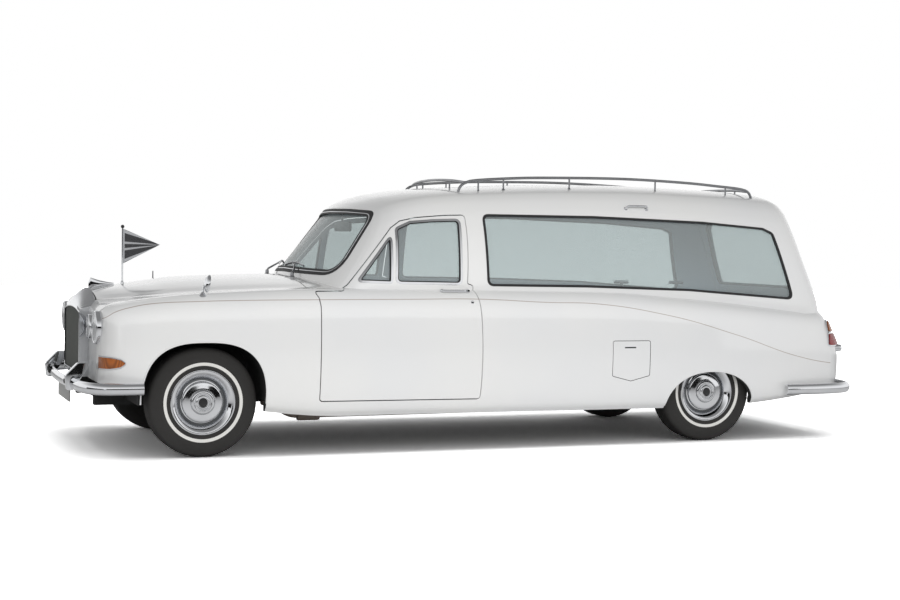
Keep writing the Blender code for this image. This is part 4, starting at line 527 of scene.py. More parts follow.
class Shape:
    """Points and faces worked out as arrays, before they become a piece."""

    def __init__(self) -> None:
        """Starts with nothing in it."""
        self.points: list[Table] = []
        self.faces: list[list[int]] = []
        self.inks: list[int] = []
        self.count = 0

    def grid(self, table: Table, wrap_rows: bool = False, wrap_columns: bool = False, ink: int = 0) -> "Shape":
        """Adds a surface from a table of points, with a four-sided face between each four neighbours.

        Args:
            table: rows by columns by three.
            wrap_rows: whether the last row joins the first.
            wrap_columns: whether the last column joins the first.
            ink: the number of the finish.

        Returns:
            The shape itself.
        """
        index = np.arange(table.shape[0] * table.shape[1]).reshape(table.shape[:2]) + self.count
        if wrap_rows:
            index = np.vstack((index, index[:1]))
        if wrap_columns:
            index = np.hstack((index, index[:, :1]))
        quads = np.stack((index[:-1, :-1], index[1:, :-1], index[1:, 1:], index[:-1, 1:]), axis=-1).reshape(-1, 4)
        self.points.append(table.reshape(-1, 3))
        self.faces += quads.tolist()
        self.inks += [ink] * len(quads)
        self.count += table.shape[0] * table.shape[1]
        return self

    def cap(self, ring: Table, ink: int = 0) -> "Shape":
        """Adds one flat face round a ring of points."""
        self.points.append(ring)
        self.faces.append(list(range(self.count, self.count + len(ring))))
        self.inks.append(ink)
        self.count += len(ring)
        return self

    def sweep(self, path: Table, section: Table, level: Point = (0, 0, 1),
              closed: bool = False, scale: Table | None = None, ink: int = 0) -> "Shape":
        """Carries a closed section along a path.

        The section's first number goes along the cross product of the path's direction and level, and its
        second along the product of that and the direction.

        Args:
            path: the path's points.
            section: pairs of numbers in metres.
            level: the direction that the section keeps upright to.
            closed: whether the path joins its own start.
            scale: a factor on the section at each point of the path.
            ink: the number of the finish.

        Returns:
            The shape itself.
        """
        path = np.asarray(path, float)
        if closed:
            way = np.roll(path, -1, axis=0) - np.roll(path, 1, axis=0)
        else:
            way = np.gradient(path, axis=0)
        way = unit(way)
        out = unit(np.cross(way, np.asarray(level, float)))
        rise = np.cross(out, way)
        size = np.ones(len(path)) if scale is None else np.asarray(scale, float)
        flat = np.asarray(section, float)
        spread = out[:, None] * flat[None, :, :1] + rise[:, None] * flat[None, :, 1:]
        table = path[:, None] + size[:, None, None] * spread
        self.grid(table, wrap_rows=closed, wrap_columns=True, ink=ink)
        if not closed:
            self.cap(table[0], ink).cap(table[-1], ink)
        return self

    def tube(self, path: Table, radius: float, level: Point = (0, 0, 1), sides: int = 14,
             closed: bool = False, ink: int = 0) -> "Shape":
        """Adds a round tube along a path. Open ends close in a quarter circle."""
        path = np.asarray(path, float)
        turns = np.linspace(0, 2 * math.pi, sides, endpoint=False)
        section = radius * np.stack((np.cos(turns), np.sin(turns)), axis=1)
        if closed:
            return self.sweep(path, section, level, True, ink=ink)
        angles = np.linspace(0, math.pi / 2, 4)[:-1]
        start, end = unit(path[0] - path[1]), unit(path[-1] - path[-2])
        head = path[0] + start * radius * np.cos(angles)[:, None] * 0.9
        tail = path[-1] + end * radius * np.cos(angles[::-1])[:, None] * 0.9
        scale = np.concatenate((np.sin(angles) + 0.05, np.ones(len(path)), np.sin(angles[::-1]) + 0.05))
        return self.sweep(np.vstack((head, path, tail)), section, level, scale=np.minimum(scale, 1), ink=ink)

    def lathe(self, profile: Table, centre: Point, axis: str = "Y", sign: int = 1,
              segments: int = 64, ring: bool = False, ink: int = 0) -> "Shape":
        """Turns a profile about an axis: each point goes round a circle of its radius at its place along the axis.

        Args:
            profile: pairs of radius and place along the axis.
            centre: the point on the axis from which the places count.
            axis: X, Y or Z.
            sign: which way the places count.
            segments: how many parts the circle has.
            ring: whether the profile's last point joins its first.
            ink: the number of the finish.

        Returns:
            The shape itself.
        """
        rows = np.asarray(profile, float)
        turns = np.linspace(0, 2 * math.pi, segments, endpoint=False)[:, None]
        c, s = rows[None, :, 0] * np.cos(turns), rows[None, :, 0] * np.sin(turns)
        t = np.broadcast_to(sign * rows[None, :, 1], c.shape)
        order = {"X": (t, c, s), "Y": (c, t, s), "Z": (c, s, t)}[axis]
        return self.grid(np.stack(order, axis=-1) + np.asarray(centre, float), True, ring, ink)

    def prism(self, outline: Table, low: float, high: float, axis: str = "Y", far: Table | None = None,
              ink: int = 0) -> "Shape":
        """Adds an outline carried straight from low to high along an axis, with flat ends."""
        rings = []
        for rows, place in ((outline, low), (outline if far is None else far, high)):
            flat = np.asarray(rows, float)
            a, b, t = flat[:, 0], flat[:, 1], np.full(len(flat), float(place))
            rings.append(np.stack({"X": (t, a, b), "Y": (a, t, b), "Z": (a, b, t)}[axis], axis=-1))
        return self.grid(np.stack(rings), wrap_columns=True, ink=ink).cap(rings[0], ink).cap(rings[1], ink)

    def box(self, low: Point, high: Point, ink: int = 0) -> "Shape":
        """Adds a straight block between two corners, as the start of a shape that is bevelled or cut."""
        outline = np.array(((low[0], low[2]), (high[0], low[2]), (high[0], high[2]), (low[0], high[2])))
        return self.prism(outline, low[1], high[1], ink=ink)

    def piece(self, name: str, *finishes: Finish, angle: float = 35.0) -> Piece:
        """Makes the object, with doubled points merged, faces outwards, and smooth shading up to an angle."""
        mesh = bpy.data.meshes.new(name)
        mesh.from_pydata(np.vstack(self.points).tolist(), [], self.faces)
        mesh.polygons.foreach_set("material_index", self.inks)
        work = bmesh.new()
        work.from_mesh(mesh)
        bmesh.ops.remove_doubles(work, verts=work.verts, dist=MERGE_DISTANCE)
        bmesh.ops.recalc_face_normals(work, faces=work.faces)
        work.to_mesh(mesh)
        work.free()
        for finish in finishes:
            mesh.materials.append(finish.material())
        shade(mesh, angle)
        made = bpy.data.objects.new(name, mesh)
        bpy.context.scene.collection.objects.link(made)
        return made


def shade(mesh: bpy.types.Mesh, angle: float = 35.0) -> None:
    """Shades a mesh smooth, apart from edges sharper than an angle in degrees."""
    mesh.polygons.foreach_set("use_smooth", [True] * len(mesh.polygons))
    mesh.set_sharp_from_angle(angle=math.radians(angle))


def settle(piece: Piece) -> Piece:
    """Applies a piece's modifiers to its mesh."""
    bpy.context.view_layer.update()
    graph = bpy.context.evaluated_depsgraph_get()
    mesh = bpy.data.meshes.new_from_object(piece.evaluated_get(graph))
    piece.modifiers.clear()
    piece.data = mesh
    return piece


def cut(piece: Piece, cutters: list[Piece], how: str = "DIFFERENCE") -> Piece:
    """Cuts, joins or meets a closed piece with others, one after the other.

    Args:
        piece: what is cut.
        cutters: closed shapes.
        how: DIFFERENCE, UNION or INTERSECT.

    Returns:
        The piece.
    """
    for cutter in cutters:
        step = piece.modifiers.new("cut", "BOOLEAN")
        step.solver, step.operation, step.object = "MANIFOLD", how, cutter
        settle(piece)
        bpy.data.objects.remove(cutter)
    return piece


def copied(piece: Piece, name: str) -> Piece:
    """A second object with a mesh of its own."""
    made = bpy.data.objects.new(name, piece.data.copy())
    bpy.context.scene.collection.objects.link(made)
    return made


def bevelled(piece: Piece, width: float, segments: int = 3) -> Piece:
    """Rounds a piece's edges."""
    step = piece.modifiers.new("edges", "BEVEL")
    step.width, step.segments, step.limit_method = width, segments, "ANGLE"
    settle(piece)
    shade(piece.data)
    return piece


def fit(piece: Piece, body: str, slot: str, *nodes: str) -> Piece:
    """Lets a finished piece ride on a body, hides the nodes that it stands for, and reports it."""
    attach(piece, body)
    if nodes:
        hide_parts(*nodes)
    LOG.info("%s: %d faces on %s", piece.name, len(piece.data.polygons), body)
    return piece


@dataclass
class Skin:
    """The smooth form of the coachwork: a lower body and a greenhouse, each swept through stations along the car."""

    # along, sill height, half width, wing height, centre height, bonnet half width
    lower: Rows = (
        (-2.645, 0.47, 0.745, 0.89, 0.945, 0.27), (-2.63, 0.466, 0.8, 0.922, 0.98, 0.275),
        (-2.6, 0.46, 0.85, 0.948, 1.012, 0.3), (-2.54, 0.44, 0.896, 0.965, 1.034, 0.4),
        (-2.42, 0.42, 0.93, 0.984, 1.054, 0.54), (-2.25, 0.4, 0.951, 1.006, 1.078, 0.64),
        (-2.0, 0.34, 0.966, 1.028, 1.11, 0.7), (-1.335, 0.256, 0.976, 1.058, 1.132, 0.75),
        (-0.7, 0.25, 0.978, 1.062, 1.132, 0.78), (0.7, 0.247, 0.977, 1.05, 1.118, 0.78),
        (1.2, 0.247, 0.974, 1.02, 1.095, 0.78), (1.6, 0.25, 0.966, 0.99, 1.07, 0.77),
        (1.95, 0.268, 0.95, 0.96, 1.045, 0.75), (2.25, 0.3, 0.928, 0.935, 1.005, 0.72),
        (2.44, 0.33, 0.91, 0.915, 0.975, 0.7),
    )
    # share of the half width, share of the height from sill to wing
    side: Rows = (
        (0.925, 0.0), (0.962, 0.065), (0.988, 0.21), (1.0, 0.45), (0.995, 0.68),
        (0.985, 0.82), (0.96, 0.92), (0.915, 0.98), (0.87, 1.0),
    )
    # share of the bonnet's half width, share of the height from wing to centre
    crown: Rows = ((1.0, 0.06), (0.8, 0.42), (0.45, 0.82), (0.0, 1.0))
    # along at the waist and at the crown, half width, waist height, crown height
    upper: Rows = (
        (-1.333, -0.924, 0.8, 1.09, 1.592), (-1.275, -0.85, 0.838, 1.09, 1.637),
        (-1.15, -0.7, 0.868, 1.09, 1.687), (-0.86, -0.4, 0.876, 1.09, 1.732),
        (0.0, 0.3, 0.877, 1.088, 1.777), (0.6, 0.75, 0.877, 1.08, 1.791),
        (1.15, 1.18, 0.876, 1.06, 1.797), (2.0, 1.82, 0.862, 1.012, 1.783),
        (2.25, 2.08, 0.85, 0.995, 1.768),
    )
    # share of the greenhouse's half width, share of the height from waist to crown
    pillar: Rows = (
        (1.0, 0.0), (0.974, 0.22), (0.93, 0.45), (0.88, 0.63), (0.836, 0.75),
        (0.77, 0.86), (0.67, 0.93), (0.42, 0.982), (0.0, 1.0),
    )
    # height, along
    tail: Rows = (
        (0.2, 2.69), (0.5, 2.69), (0.65, 2.675), (0.85, 2.59), (1.18, 2.47),
        (1.3, 2.43), (1.5, 2.375), (1.65, 2.335), (1.8, 2.28),
    )
    tail_round: float = 0.2
    crown_drop: float = 0.4
    lean_start: float = 1.0
    foot: float = 0.1
    tuck: float = 0.012
    bow: float = 0.34
    bow_end: float = -0.3
    half_width: float = 0.978
    columns: int = 16

    def tail_x(self, z: Table) -> Table:
        """Where the tail's profile is at each height: the smooth curve through the tail's table, read by height."""
        curve = curve_through(np.array(self.tail), 8)
        return np.interp(z, curve[:, 0], curve[:, 1])

    def inset(self, control: Table, depth: float) -> Table:
        """Half sections moved inwards: each point goes along the mitre of its two neighbouring sides."""
        step = unit(np.diff(control, axis=1))
        before = np.concatenate((step[:, :1], step), axis=1)
        level = np.broadcast_to(np.array((-1.0, 0.0)), step[:, :1].shape)
        after = np.concatenate((step, level), axis=1)
        n1 = np.stack((-before[..., 1], before[..., 0]), axis=-1)
        n2 = np.stack((-after[..., 1], after[..., 0]), axis=-1)
        middle = unit(n1 + n2)
        made = control + middle * (depth / np.maximum(0.5, np.sum(middle * n1, axis=-1)))[..., None]
        made[:, -1, 0] = 0.0
        return made

    def fine(self, control: Table, steps: int, drop: float = 0.0) -> Table:
        """Half sections made smooth. With a drop, each starts with a straight run up from that far below its foot."""
        count = control.shape[1]
        flat = curve_through(control.transpose(1, 0, 2).reshape(count, -1), steps)
        made = flat.reshape(len(flat), -1, 2).transpose(1, 0, 2).copy()
        made[:, -1, 0] = 0.0
        if drop:
            made = np.concatenate((made[:, :1] - (0.0, drop), made), axis=1)
        return made

    def whole(self, halves: Table, x_at: "Table | object") -> Table:
        """Closed rings from half sections: up the left side, down the right one, and back below."""
        left = halves * (-1, 1)
        right = halves[:, -2::-1]
        share = np.linspace(1, -1, self.columns + 1)[None, 1:-1, None]
        level = np.repeat(halves[:, :1, 1:], self.columns - 1, axis=1)
        base = np.concatenate((halves[:, :1, :1] * share, level), axis=-1)
        flat = np.concatenate((left, right, base), axis=1)
        return np.concatenate((x_at(flat[..., 0], flat[..., 1])[..., None], flat), axis=-1)

    def end(self, half: Table, x_at: object) -> Table:
        """A table of points that closes one end: level rows from side to side, at the places of the half section."""
        share = np.linspace(-1, 1, self.columns + 1)[None, :]
        y = half[:, :1] * share
        z = np.repeat(half[:, 1:], self.columns + 1, axis=1)
        return np.stack((x_at(y, z), y, z), axis=-1)

    def turns(self, steps: int) -> tuple[Table, Table]:
        """How far forward and inward each ring of the rounded tail lies: a quarter circle's cosine and sine."""
        angle = np.radians(np.linspace(75, 0, steps))
        return self.tail_round * (1 - np.cos(angle)), self.tail_round * (1 - np.sin(angle))

    def lower_solid(self, name: str, inset: float = 0.0, fineness: int = 5, drop: float = 0.0, ink: int = 0,
                    finishes: tuple[Finish, ...] = ()) -> Piece:
        """The lower body as one closed solid.

        A ring's points are the station's widths and heights times the section's shares, and lean towards the
        tail's profile by the square of their way along.

        Args:
            name: the object's name.
            inset: how far inside the real skin it lies.
            fineness: how many parts each span of a table is cut into.
            drop: how far the foot is carried below the sill.
            ink: the number of the finish.
            finishes: all the finishes of the meshes that it will be cut with.

        Returns:
            The solid.
        """
        rows = curve_through(np.array(self.lower), fineness)
        rows = rows[np.concatenate(([True], rows[1:, 0] > self.lower[0][0] + inset + SEAT_GAP))]
        place = np.maximum(rows[:, 0], self.lower[0][0] + inset)
        fade = np.maximum(0, (place - self.lean_start) / (self.tail[0][1] - self.lean_start)) ** 2
        side, crown = np.array(self.side), np.array(self.crown)
        sides = np.stack((rows[:, 2:3] * side[None, :, 0],
                          rows[:, 1:2] + (rows[:, 3:4] - rows[:, 1:2]) * side[None, :, 1]), axis=-1)
        tops = np.stack((rows[:, 5:6] * crown[None, :, 0],
                         rows[:, 3:4] + (rows[:, 4:5] - rows[:, 3:4]) * crown[None, :, 1]), axis=-1)
        halves = self.fine(self.inset(np.concatenate((sides, tops), axis=1), inset), fineness, drop)
        x0 = self.tail[0][1]
        body = self.whole(halves, lambda y, z: place[:, None] + fade[:, None] * (self.tail_x(z) - x0))
        forward, inward = self.turns(3 * fineness)
        ends = np.repeat(halves[-1:], len(forward), axis=0)
        ends[..., 0] *= 1 - (inward / ends[0, :, 0].max())[:, None]
        tail = self.whole(ends, lambda y, z: self.tail_x(z) - forward[:, None] - inset)
        shape = Shape().grid(np.concatenate((body, tail)), wrap_columns=True, ink=ink)
        shape.grid(self.end(halves[0], lambda y, z: np.full(y.shape, place[0])), ink=ink)
        shape.grid(self.end(ends[-1], lambda y, z: self.tail_x(z) - inset), ink=ink)
        return shape.piece(name, *finishes)

    def upper_solid(self, name: str, inset: float = 0.0, fineness: int = 5, ink: int = 0,
                    finishes: tuple[Finish, ...] = ()) -> Piece:
        """The greenhouse as one closed solid, which reaches down into the lower body.

        Each ring leans from its place at the waist to its place at the crown, and the windscreen's rings bow
        back with the square of the distance from the centre line.

        Args:
            name: the object's name.
            inset: how far inside the real skin it lies.
            fineness: how many parts each span of a table is cut into.
            ink: the number of the finish.
            finishes: all the finishes of the meshes that it will be cut with.

        Returns:
            The solid.
        """
        rows = curve_through(np.array(self.upper), fineness)
        pillar = np.array(self.pillar)

        def control(width: Table, waist: Table, crown: Table) -> Table:
            """The half sections' few points, from the foot to the centre line."""
            shares = np.stack((width * pillar[None, :, 0], waist + (crown - waist) * pillar[None, :, 1]), axis=-1)
            feet = np.stack((width, waist - self.foot), axis=-1)
            return self.inset(np.concatenate((feet, shares), axis=1), inset)

        halves = self.fine(control(rows[:, 2:3], rows[:, 3:4], rows[:, 4:5]), fineness)
        slope = (rows[:, 1] - rows[:, 0]) / (rows[:, 4] - rows[:, 3])
        fade = np.maximum(0, (self.bow_end - rows[:, 1]) / (self.bow_end - rows[0, 1]))
        start = rows[:, 0] + inset * fade * np.hypot(1, slope) - slope * rows[:, 3]
        bow = self.bow * fade / self.half_width
        body = self.whole(halves, lambda y, z: start[:, None] + slope[:, None] * z + bow[:, None] * y * y)
        forward, inward = self.turns(3 * fineness)
        width, waist, crown = rows[-1, 2], rows[-1, 3], rows[-1, 4]
        column = np.ones((len(forward), 1))
        ends = self.fine(control(width * column, waist * column, crown - self.crown_drop * inward[:, None]), fineness)
        ends[..., 0] *= 1 - (inward / ends[0, :, 0].max())[:, None]
        under = self.tuck / self.foot

        def rear(y: Table, z: Table) -> Table:
            """The tail's place, drawn in below the waist."""
            return self.tail_x(z) - inset - under * np.maximum(0, waist - z)

        tail = self.whole(ends, lambda y, z: rear(y, z) - forward[:, None])
        shape = Shape().grid(np.concatenate((body, tail)), wrap_columns=True, ink=ink)
        shape.grid(self.end(halves[0], lambda y, z: start[0] + slope[0] * z + bow[0] * y * y), ink=ink)
        shape.grid(self.end(ends[-1], rear), ink=ink)
        return shape.piece(name, *finishes)

    def side_y(self, x: float, z: float) -> float:
        """The distance of the lower body's side from the centre line at a place and height."""
        rows = curve_through(np.array(self.lower), 6)
        _, sill, width, wing, _, _ = (np.interp(x, rows[:, 0], rows[:, k]) for k in range(6))
        side = curve_through(np.array(self.side), 6)
        return float(width * np.interp((z - sill) / (wing - sill), side[:, 1], side[:, 0]))

    def bonnet_z(self, x: float, y: float = 0.0) -> float:
        """The height of the bonnet at a place."""
        rows = curve_through(np.array(self.lower), 6)
        _, _, _, wing, centre, wide = (np.interp(x, rows[:, 0], rows[:, k]) for k in range(6))
        crown = curve_through(np.array(self.crown[::-1]), 6)
        return float(wing + (centre - wing) * np.interp(abs(y) / wide, crown[:, 0], crown[:, 1]))


@dataclass
class Outlines:
    """The outlines of the panels and windows, in the side, front and plan views."""

    door_front: Rows = (
        (-1.29, 0.352), (-1.288, 0.95), (-1.296, 1.005), (-1.316, 1.04), (-1.13, 1.043),
        (-1.078, 1.083), (-0.77, 1.452), (-0.705, 1.498), (-0.6, 1.522), (-0.45, 1.536),
    )
    # along, height, and the half width of the body where the slanted edge was drawn
    door_rear: Rows = (
        (-0.262, 1.546, 0.74), (-0.275, 1.092, 0.875), (-0.235, 1.085, 0.88),
        (-0.212, 0.98, 0.95), (-0.198, 0.73, 0.975), (-0.204, 0.347, 0.955),
    )
    door_planes: Pair = (0.56, 1.028)
    door_slant: float = math.tan(math.radians(19))
    quarter_light: Rows = ((-1.01, 1.112), (-0.8, 1.106), (-0.783, 1.395))
    drop_glass: Rows = (
        (-0.758, 1.105), (-0.318, 1.1), (-0.3, 1.512), (-0.48, 1.505), (-0.64, 1.49), (-0.735, 1.448),
    )
    side_window: Rows = (
        (-0.125, 1.085), (0.6, 1.08), (1.39, 1.058), (2.253, 0.997), (2.126, 1.468), (2.046, 1.501),
        (1.544, 1.536), (0.7, 1.558), (-0.125, 1.555),
    )
    screen: Rows = ((0.0, 1.165), (0.7, 1.15), (0.6, 1.552), (0.3, 1.566), (0.0, 1.57))
    tailgate: Rows = (
        (0.0, 0.58), (0.65, 0.58), (0.62, 1.54), (0.56, 1.64), (0.12, 1.655), (0.0, 1.655),
    )
    behind_tailgate: Rows = (
        (1.9, 0.3), (2.61, 0.3), (2.61, 0.5), (2.54, 0.78), (2.47, 1.02), (2.38, 1.25), (2.3, 1.45),
        (2.235, 1.66), (2.235, 1.9), (1.9, 1.9),
    )
    tail_window: Rows = ((0.0, 1.06), (0.585, 1.06), (0.56, 1.5), (0.515, 1.56), (0.0, 1.575))
    bonnet: Rows = (
        (-2.593, 0.0), (-2.589, 0.27), (-2.53, 0.46), (-2.46, 0.62), (-2.38, 0.735), (-2.27, 0.805),
        (-1.9, 0.838), (-1.42, 0.85), (-1.36, 0.83), (-1.335, 0.77), (-1.335, 0.0),
    )
    flap: Rows = ((0.76, 0.716), (0.76, 0.481), (0.9, 0.446), (1.04, 0.481), (1.04, 0.716))
    slot: Rows = ((0.846, 0.668), (0.932, 0.668), (0.932, 0.677), (0.846, 0.677))
    indicator: Rows = (
        (-2.685, 0.564), (-2.69, 0.598), (-2.685, 0.632), (-2.64, 0.637), (-2.59, 0.635), (-2.535, 0.624),
        (-2.5, 0.599), (-2.535, 0.574), (-2.59, 0.562), (-2.64, 0.559),
    )
    tail_lamp: Rows = ((2.52, 0.668), (2.72, 0.668), (2.72, 0.757), (2.53, 0.757))
    tail_amber: Rows = ((2.53, 0.765), (2.72, 0.765), (2.72, 0.845), (2.55, 0.845), (2.532, 0.81))

    def door(self, grow: float) -> list[Table]:
        """The door's outline at its inner and outer planes. Its rear edge slants away from the centre."""
        made = []
        for plane in self.door_planes:
            rear = [(x + (plane - y) * self.door_slant, z) for x, z, y in self.door_rear]
            made.append(grown(rounded(np.array(list(self.door_front) + rear), 0.018, 3), grow))
        return made

    def plan(self, grow: float) -> Table:
        """The bonnet's outline in plan."""
        half = np.array(self.bonnet)
        whole = np.vstack((half, half[-2:0:-1] * (1, -1)))
        return grown(rounded(whole, 0.05, 4), grow)

    def arch(self, centre_x: float, base_z: float, half_length: float, rise: float, power: float) -> Table:
        """A wheel opening: straight up from the ground, then half an ellipse of the given power."""
        turns = np.linspace(0, math.pi, 49)
        cos, sin = np.cos(turns), np.sin(turns)
        along, high = np.sign(cos) * np.abs(cos) ** (2 / power), np.abs(sin) ** (2 / power)
        curve = np.stack((centre_x - half_length * along, base_z + rise * high), axis=1)
        return np.vstack(((curve[0, 0], 0.0), curve, (curve[-1, 0], 0.0)))

    def arches(self, grow: float = 0.0) -> list[Table]:
        """The front and the rear wheel opening."""
        return [self.arch(FRONT_AXLE_X - 0.01, WHEEL_Z, 0.385 + grow, 0.385 + grow, 2.7),
                self.arch(REAR_AXLE_X - 0.028, 0.25, 0.353 + grow, 0.25 + grow, 2.1)]


@dataclass
class Coachwork:
    """The painted body, doors, bonnet, tailgate and flaps, all cut from one skin, with the glass and its seals."""

    skin: Skin
    lines: Outlines
    side_wall: float = 0.05
    roof_wall: float = 0.03
    glass_inset: float = 0.012
    glass_thick: float = 0.006
    inks: tuple[Finish, ...] = (PAINT, TRIM, UNDERSEAL, RUBBER, CHROME, GLASS)

    def build(self) -> None:
        """Makes every panel, pane and seal."""
        self.shell = self.make_shell()
        self.strips = {}
        self.panels()
        self.panes()
        self.seals()
        self.corner_lamps()
        for spare in [self.shell, *self.strips.values()]:
            bpy.data.objects.remove(spare)

    def make_shell(self) -> Piece:
        """The whole skin as one wall, open below: the outer form less the inner one."""
        outer = self.skin.lower_solid("shell", finishes=self.inks)
        cut(outer, [self.skin.upper_solid("upper", finishes=self.inks)], "UNION")
        inner = self.skin.lower_solid("inner", self.side_wall, 2, DROP_BELOW, 2, self.inks)
        return cut(outer, [self.skin.upper_solid("inner_upper", self.roof_wall, 3, 1, self.inks), inner])

    def solid(self, outline: Table, low: float, high: float, axis: str = "Y", far: Table | None = None,
              ink: int = 0) -> Piece:
        """A cutter from an outline."""
        return Shape().prism(outline, low, high, axis, far, ink).piece("cutter", *self.inks)

    def side(self, outline: Table, side: Side, near: float = 0.303, far: float = PAST_SIDE, ink: int = 0) -> Piece:
        """A cutter through one side of the body."""
        low, high = sorted((side.value * near, side.value * far))
        return self.solid(outline, low, high, ink=ink)

    def door(self, side: Side, grow: float) -> Piece:
        """A door's slanted cutter."""
        inner, outer = self.lines.door(grow)
        near, far = self.lines.door_planes
        if side is Side.RIGHT:
            return self.solid(inner, near, far, far=outer)
        return self.solid(outer, -far, -near, far=inner)

    def bonnet(self, grow: float) -> Piece:
        """The bonnet's cutter."""
        return self.solid(self.lines.plan(grow), 0.9 - grow, 2.1, "Z")

    def swing(self) -> Piece:
        """What lies outside the circle that the bonnet's front edge follows as it opens."""
        rear, front = (-1.335, self.skin.bonnet_z(-1.335)), (-2.593, self.skin.bonnet_z(-2.593))
        radius = math.hypot(rear[0] - front[0], rear[1] - front[1])
        turns = np.radians(np.linspace(-20, 12, 33))
        arc = np.stack((rear[0] - radius * np.cos(turns), rear[1] + radius * np.sin(turns)), axis=1)
        outline = np.vstack((arc, (-PAST_END, arc[-1, 1]), (-PAST_END, arc[0, 1])))
        return self.solid(outline, -PAST_SIDE, PAST_SIDE)

    def tailgate(self, grow: float, relief: float = 0.0) -> Piece:
        """The tailgate's cutter, with room above its top edge where the edge turns up as it opens."""
        half = np.array(self.lines.tailgate)
        half[:, 1] += relief * (half[:, 1] > 1.6)
        whole = self.solid(grown(rounded(mirrored(half), 0.05), grow), *REAR_SPAN)
        return cut(whole, [self.solid(np.array(self.lines.behind_tailgate), -1.1, 1.1)])

    def window(self, name: str, grow: float = 0.0) -> Table:
        """The outline of one of the windows, grown and then rounded at its corners."""
        outline, radius = {
            "side": (self.lines.side_window, 0.045),
            "screen": (mirrored(self.lines.screen), 0.1),
            "tail": (mirrored(self.lines.tail_window), 0.045),
            "light": (self.lines.quarter_light, 0.012),
            "drop": (self.lines.drop_glass, 0.03),
        }[name]
        return rounded(grown(np.array(outline), grow), max(radius + grow, 0.004))

    def panels(self) -> None:
        """Cuts the fixed body, doors, bonnet, tailgate and flaps."""
        body = copied(self.shell, "coachwork")
        flap = np.array(self.lines.flap)
        cutters = [self.bonnet(SHUT_GAP), self.tailgate(SHUT_GAP, 0.014),
                   self.solid(self.window("screen"), *FRONT_SPAN, ink=3)]
        for side in Side:
            cutters += [self.door(side, SHUT_GAP), self.side(self.window("side"), side, ink=3)]
            cutters += [self.side(arch, side, near=0.35, ink=2) for arch in self.lines.arches()]
            cutters.append(self.side(grown(rounded(flap, 0.012, 4), 0.004), side, 0.954, ink=2))
        fixed = ("roof", "quarter_left", "quarter_right", "wing_left", "wing_right", "nose", "tail_panel")
        fit(self.finish(cut(body, cutters)), "body", "paint", *fixed)
        bonnet = cut(copied(self.shell, "bonnet_skin"), [self.bonnet(0.0)], "INTERSECT")
        fit(self.finish(cut(bonnet, [self.swing()])), "bonnet", "paint", "bonnet")
        gate = cut(copied(self.shell, "tailgate_skin"), [self.tailgate(0.0)], "INTERSECT")
        opening = self.solid(self.window("tail"), *REAR_SPAN, ink=3)
        fit(self.finish(cut(gate, [opening])), "tailgate", "paint", "tailgate")
        for side in Side:
            door = cut(copied(self.shell, "door_skin_" + side.word), [self.door(side, 0.0)], "INTERSECT")
            openings = [self.side(self.window(name), side, ink=3) for name in ("light", "drop")]
            fit(self.finish(cut(door, openings)), "door_" + side.word, "paint", "door_" + side.word)
            shape = self.side(rounded(flap, 0.012, 4), side)
            plate = cut(copied(self.shell, "flap_skin_" + side.word), [shape], "INTERSECT")
            inside = self.side(np.array(((0.6, 0.3), (1.2, 0.3), (1.2, 0.9), (0.6, 0.9))), side, far=0.966)
            slot = self.side(rounded(np.array(self.lines.slot), 0.003, 3), side, near=0.9735, ink=3)
            fit(self.finish(cut(plate, [inside, slot])), "flap_" + side.word, "paint", "flap_" + side.word)

    def finish(self, piece: Piece) -> Piece:
        """Shades a panel that has been cut."""
        shade(piece.data, PANEL_CREASE)
        return piece

    def strip(self, proud: float, deep: float) -> Piece:
        """A thin layer of the greenhouse's form between two depths, kept for later cuts."""
        key = (proud, deep)
        if key not in self.strips:
            outer = self.skin.upper_solid("strip", proud, 5, finishes=self.inks)
            self.strips[key] = cut(outer, [self.skin.upper_solid("strip_in", deep, 5, finishes=self.inks)])
        return self.strips[key]

    def panes(self) -> None:
        """Cuts each pane from a thin layer just under the skin."""
        layer = (self.glass_inset, self.glass_inset + self.glass_thick)
        screen = self.solid(self.window("screen", -SEAT_GAP), *FRONT_SPAN)
        self.pane("windscreen_pane", layer, screen, "body", "windscreen")
        rear = self.solid(self.window("tail", -SEAT_GAP), *REAR_SPAN)
        self.pane("tailgate_pane", layer, rear, "tailgate", "tailgate_glass")
        for side in Side:
            door = "door_" + side.word
            for outline, name, body in (("side", "side_glass_", "body"), ("light", "quarter_light_", door),
                                        ("drop", "door_glass_", door)):
                cutter = self.side(self.window(outline, -SEAT_GAP), side)
                self.pane(name + "pane_" + side.word, layer, cutter, body, name + side.word)

    def pane(self, name: str, layer: Pair, cutter: Piece, body: str, node: str) -> None:
        """Cuts one pane."""
        made = cut(copied(self.strip(*layer), name), [cutter], "INTERSECT")
        self.single(made, GLASS)
        fit(self.finish(made), body, "glass", node)

    def single(self, piece: Piece, finish: Finish) -> None:
        """Gives a piece one finish all over."""
        piece.data.materials.clear()
        piece.data.materials.append(finish.material())
        piece.data.polygons.foreach_set("material_index", [0] * len(piece.data.polygons))

    def band(self, name: str, outers: list[Piece], inners: list[Piece],
             layer: Pair, finish: Finish, body: str) -> None:
        """A frame on the skin round one window or more: a layer within the outer outlines, less the inner ones."""
        made = cut(copied(self.strip(*layer), name), [cut(outers[0], outers[1:], "UNION")], "INTERSECT")
        cut(made, inners)
        self.single(made, finish)
        fit(self.finish(made), body, "black" if finish is RUBBER else "chrome")

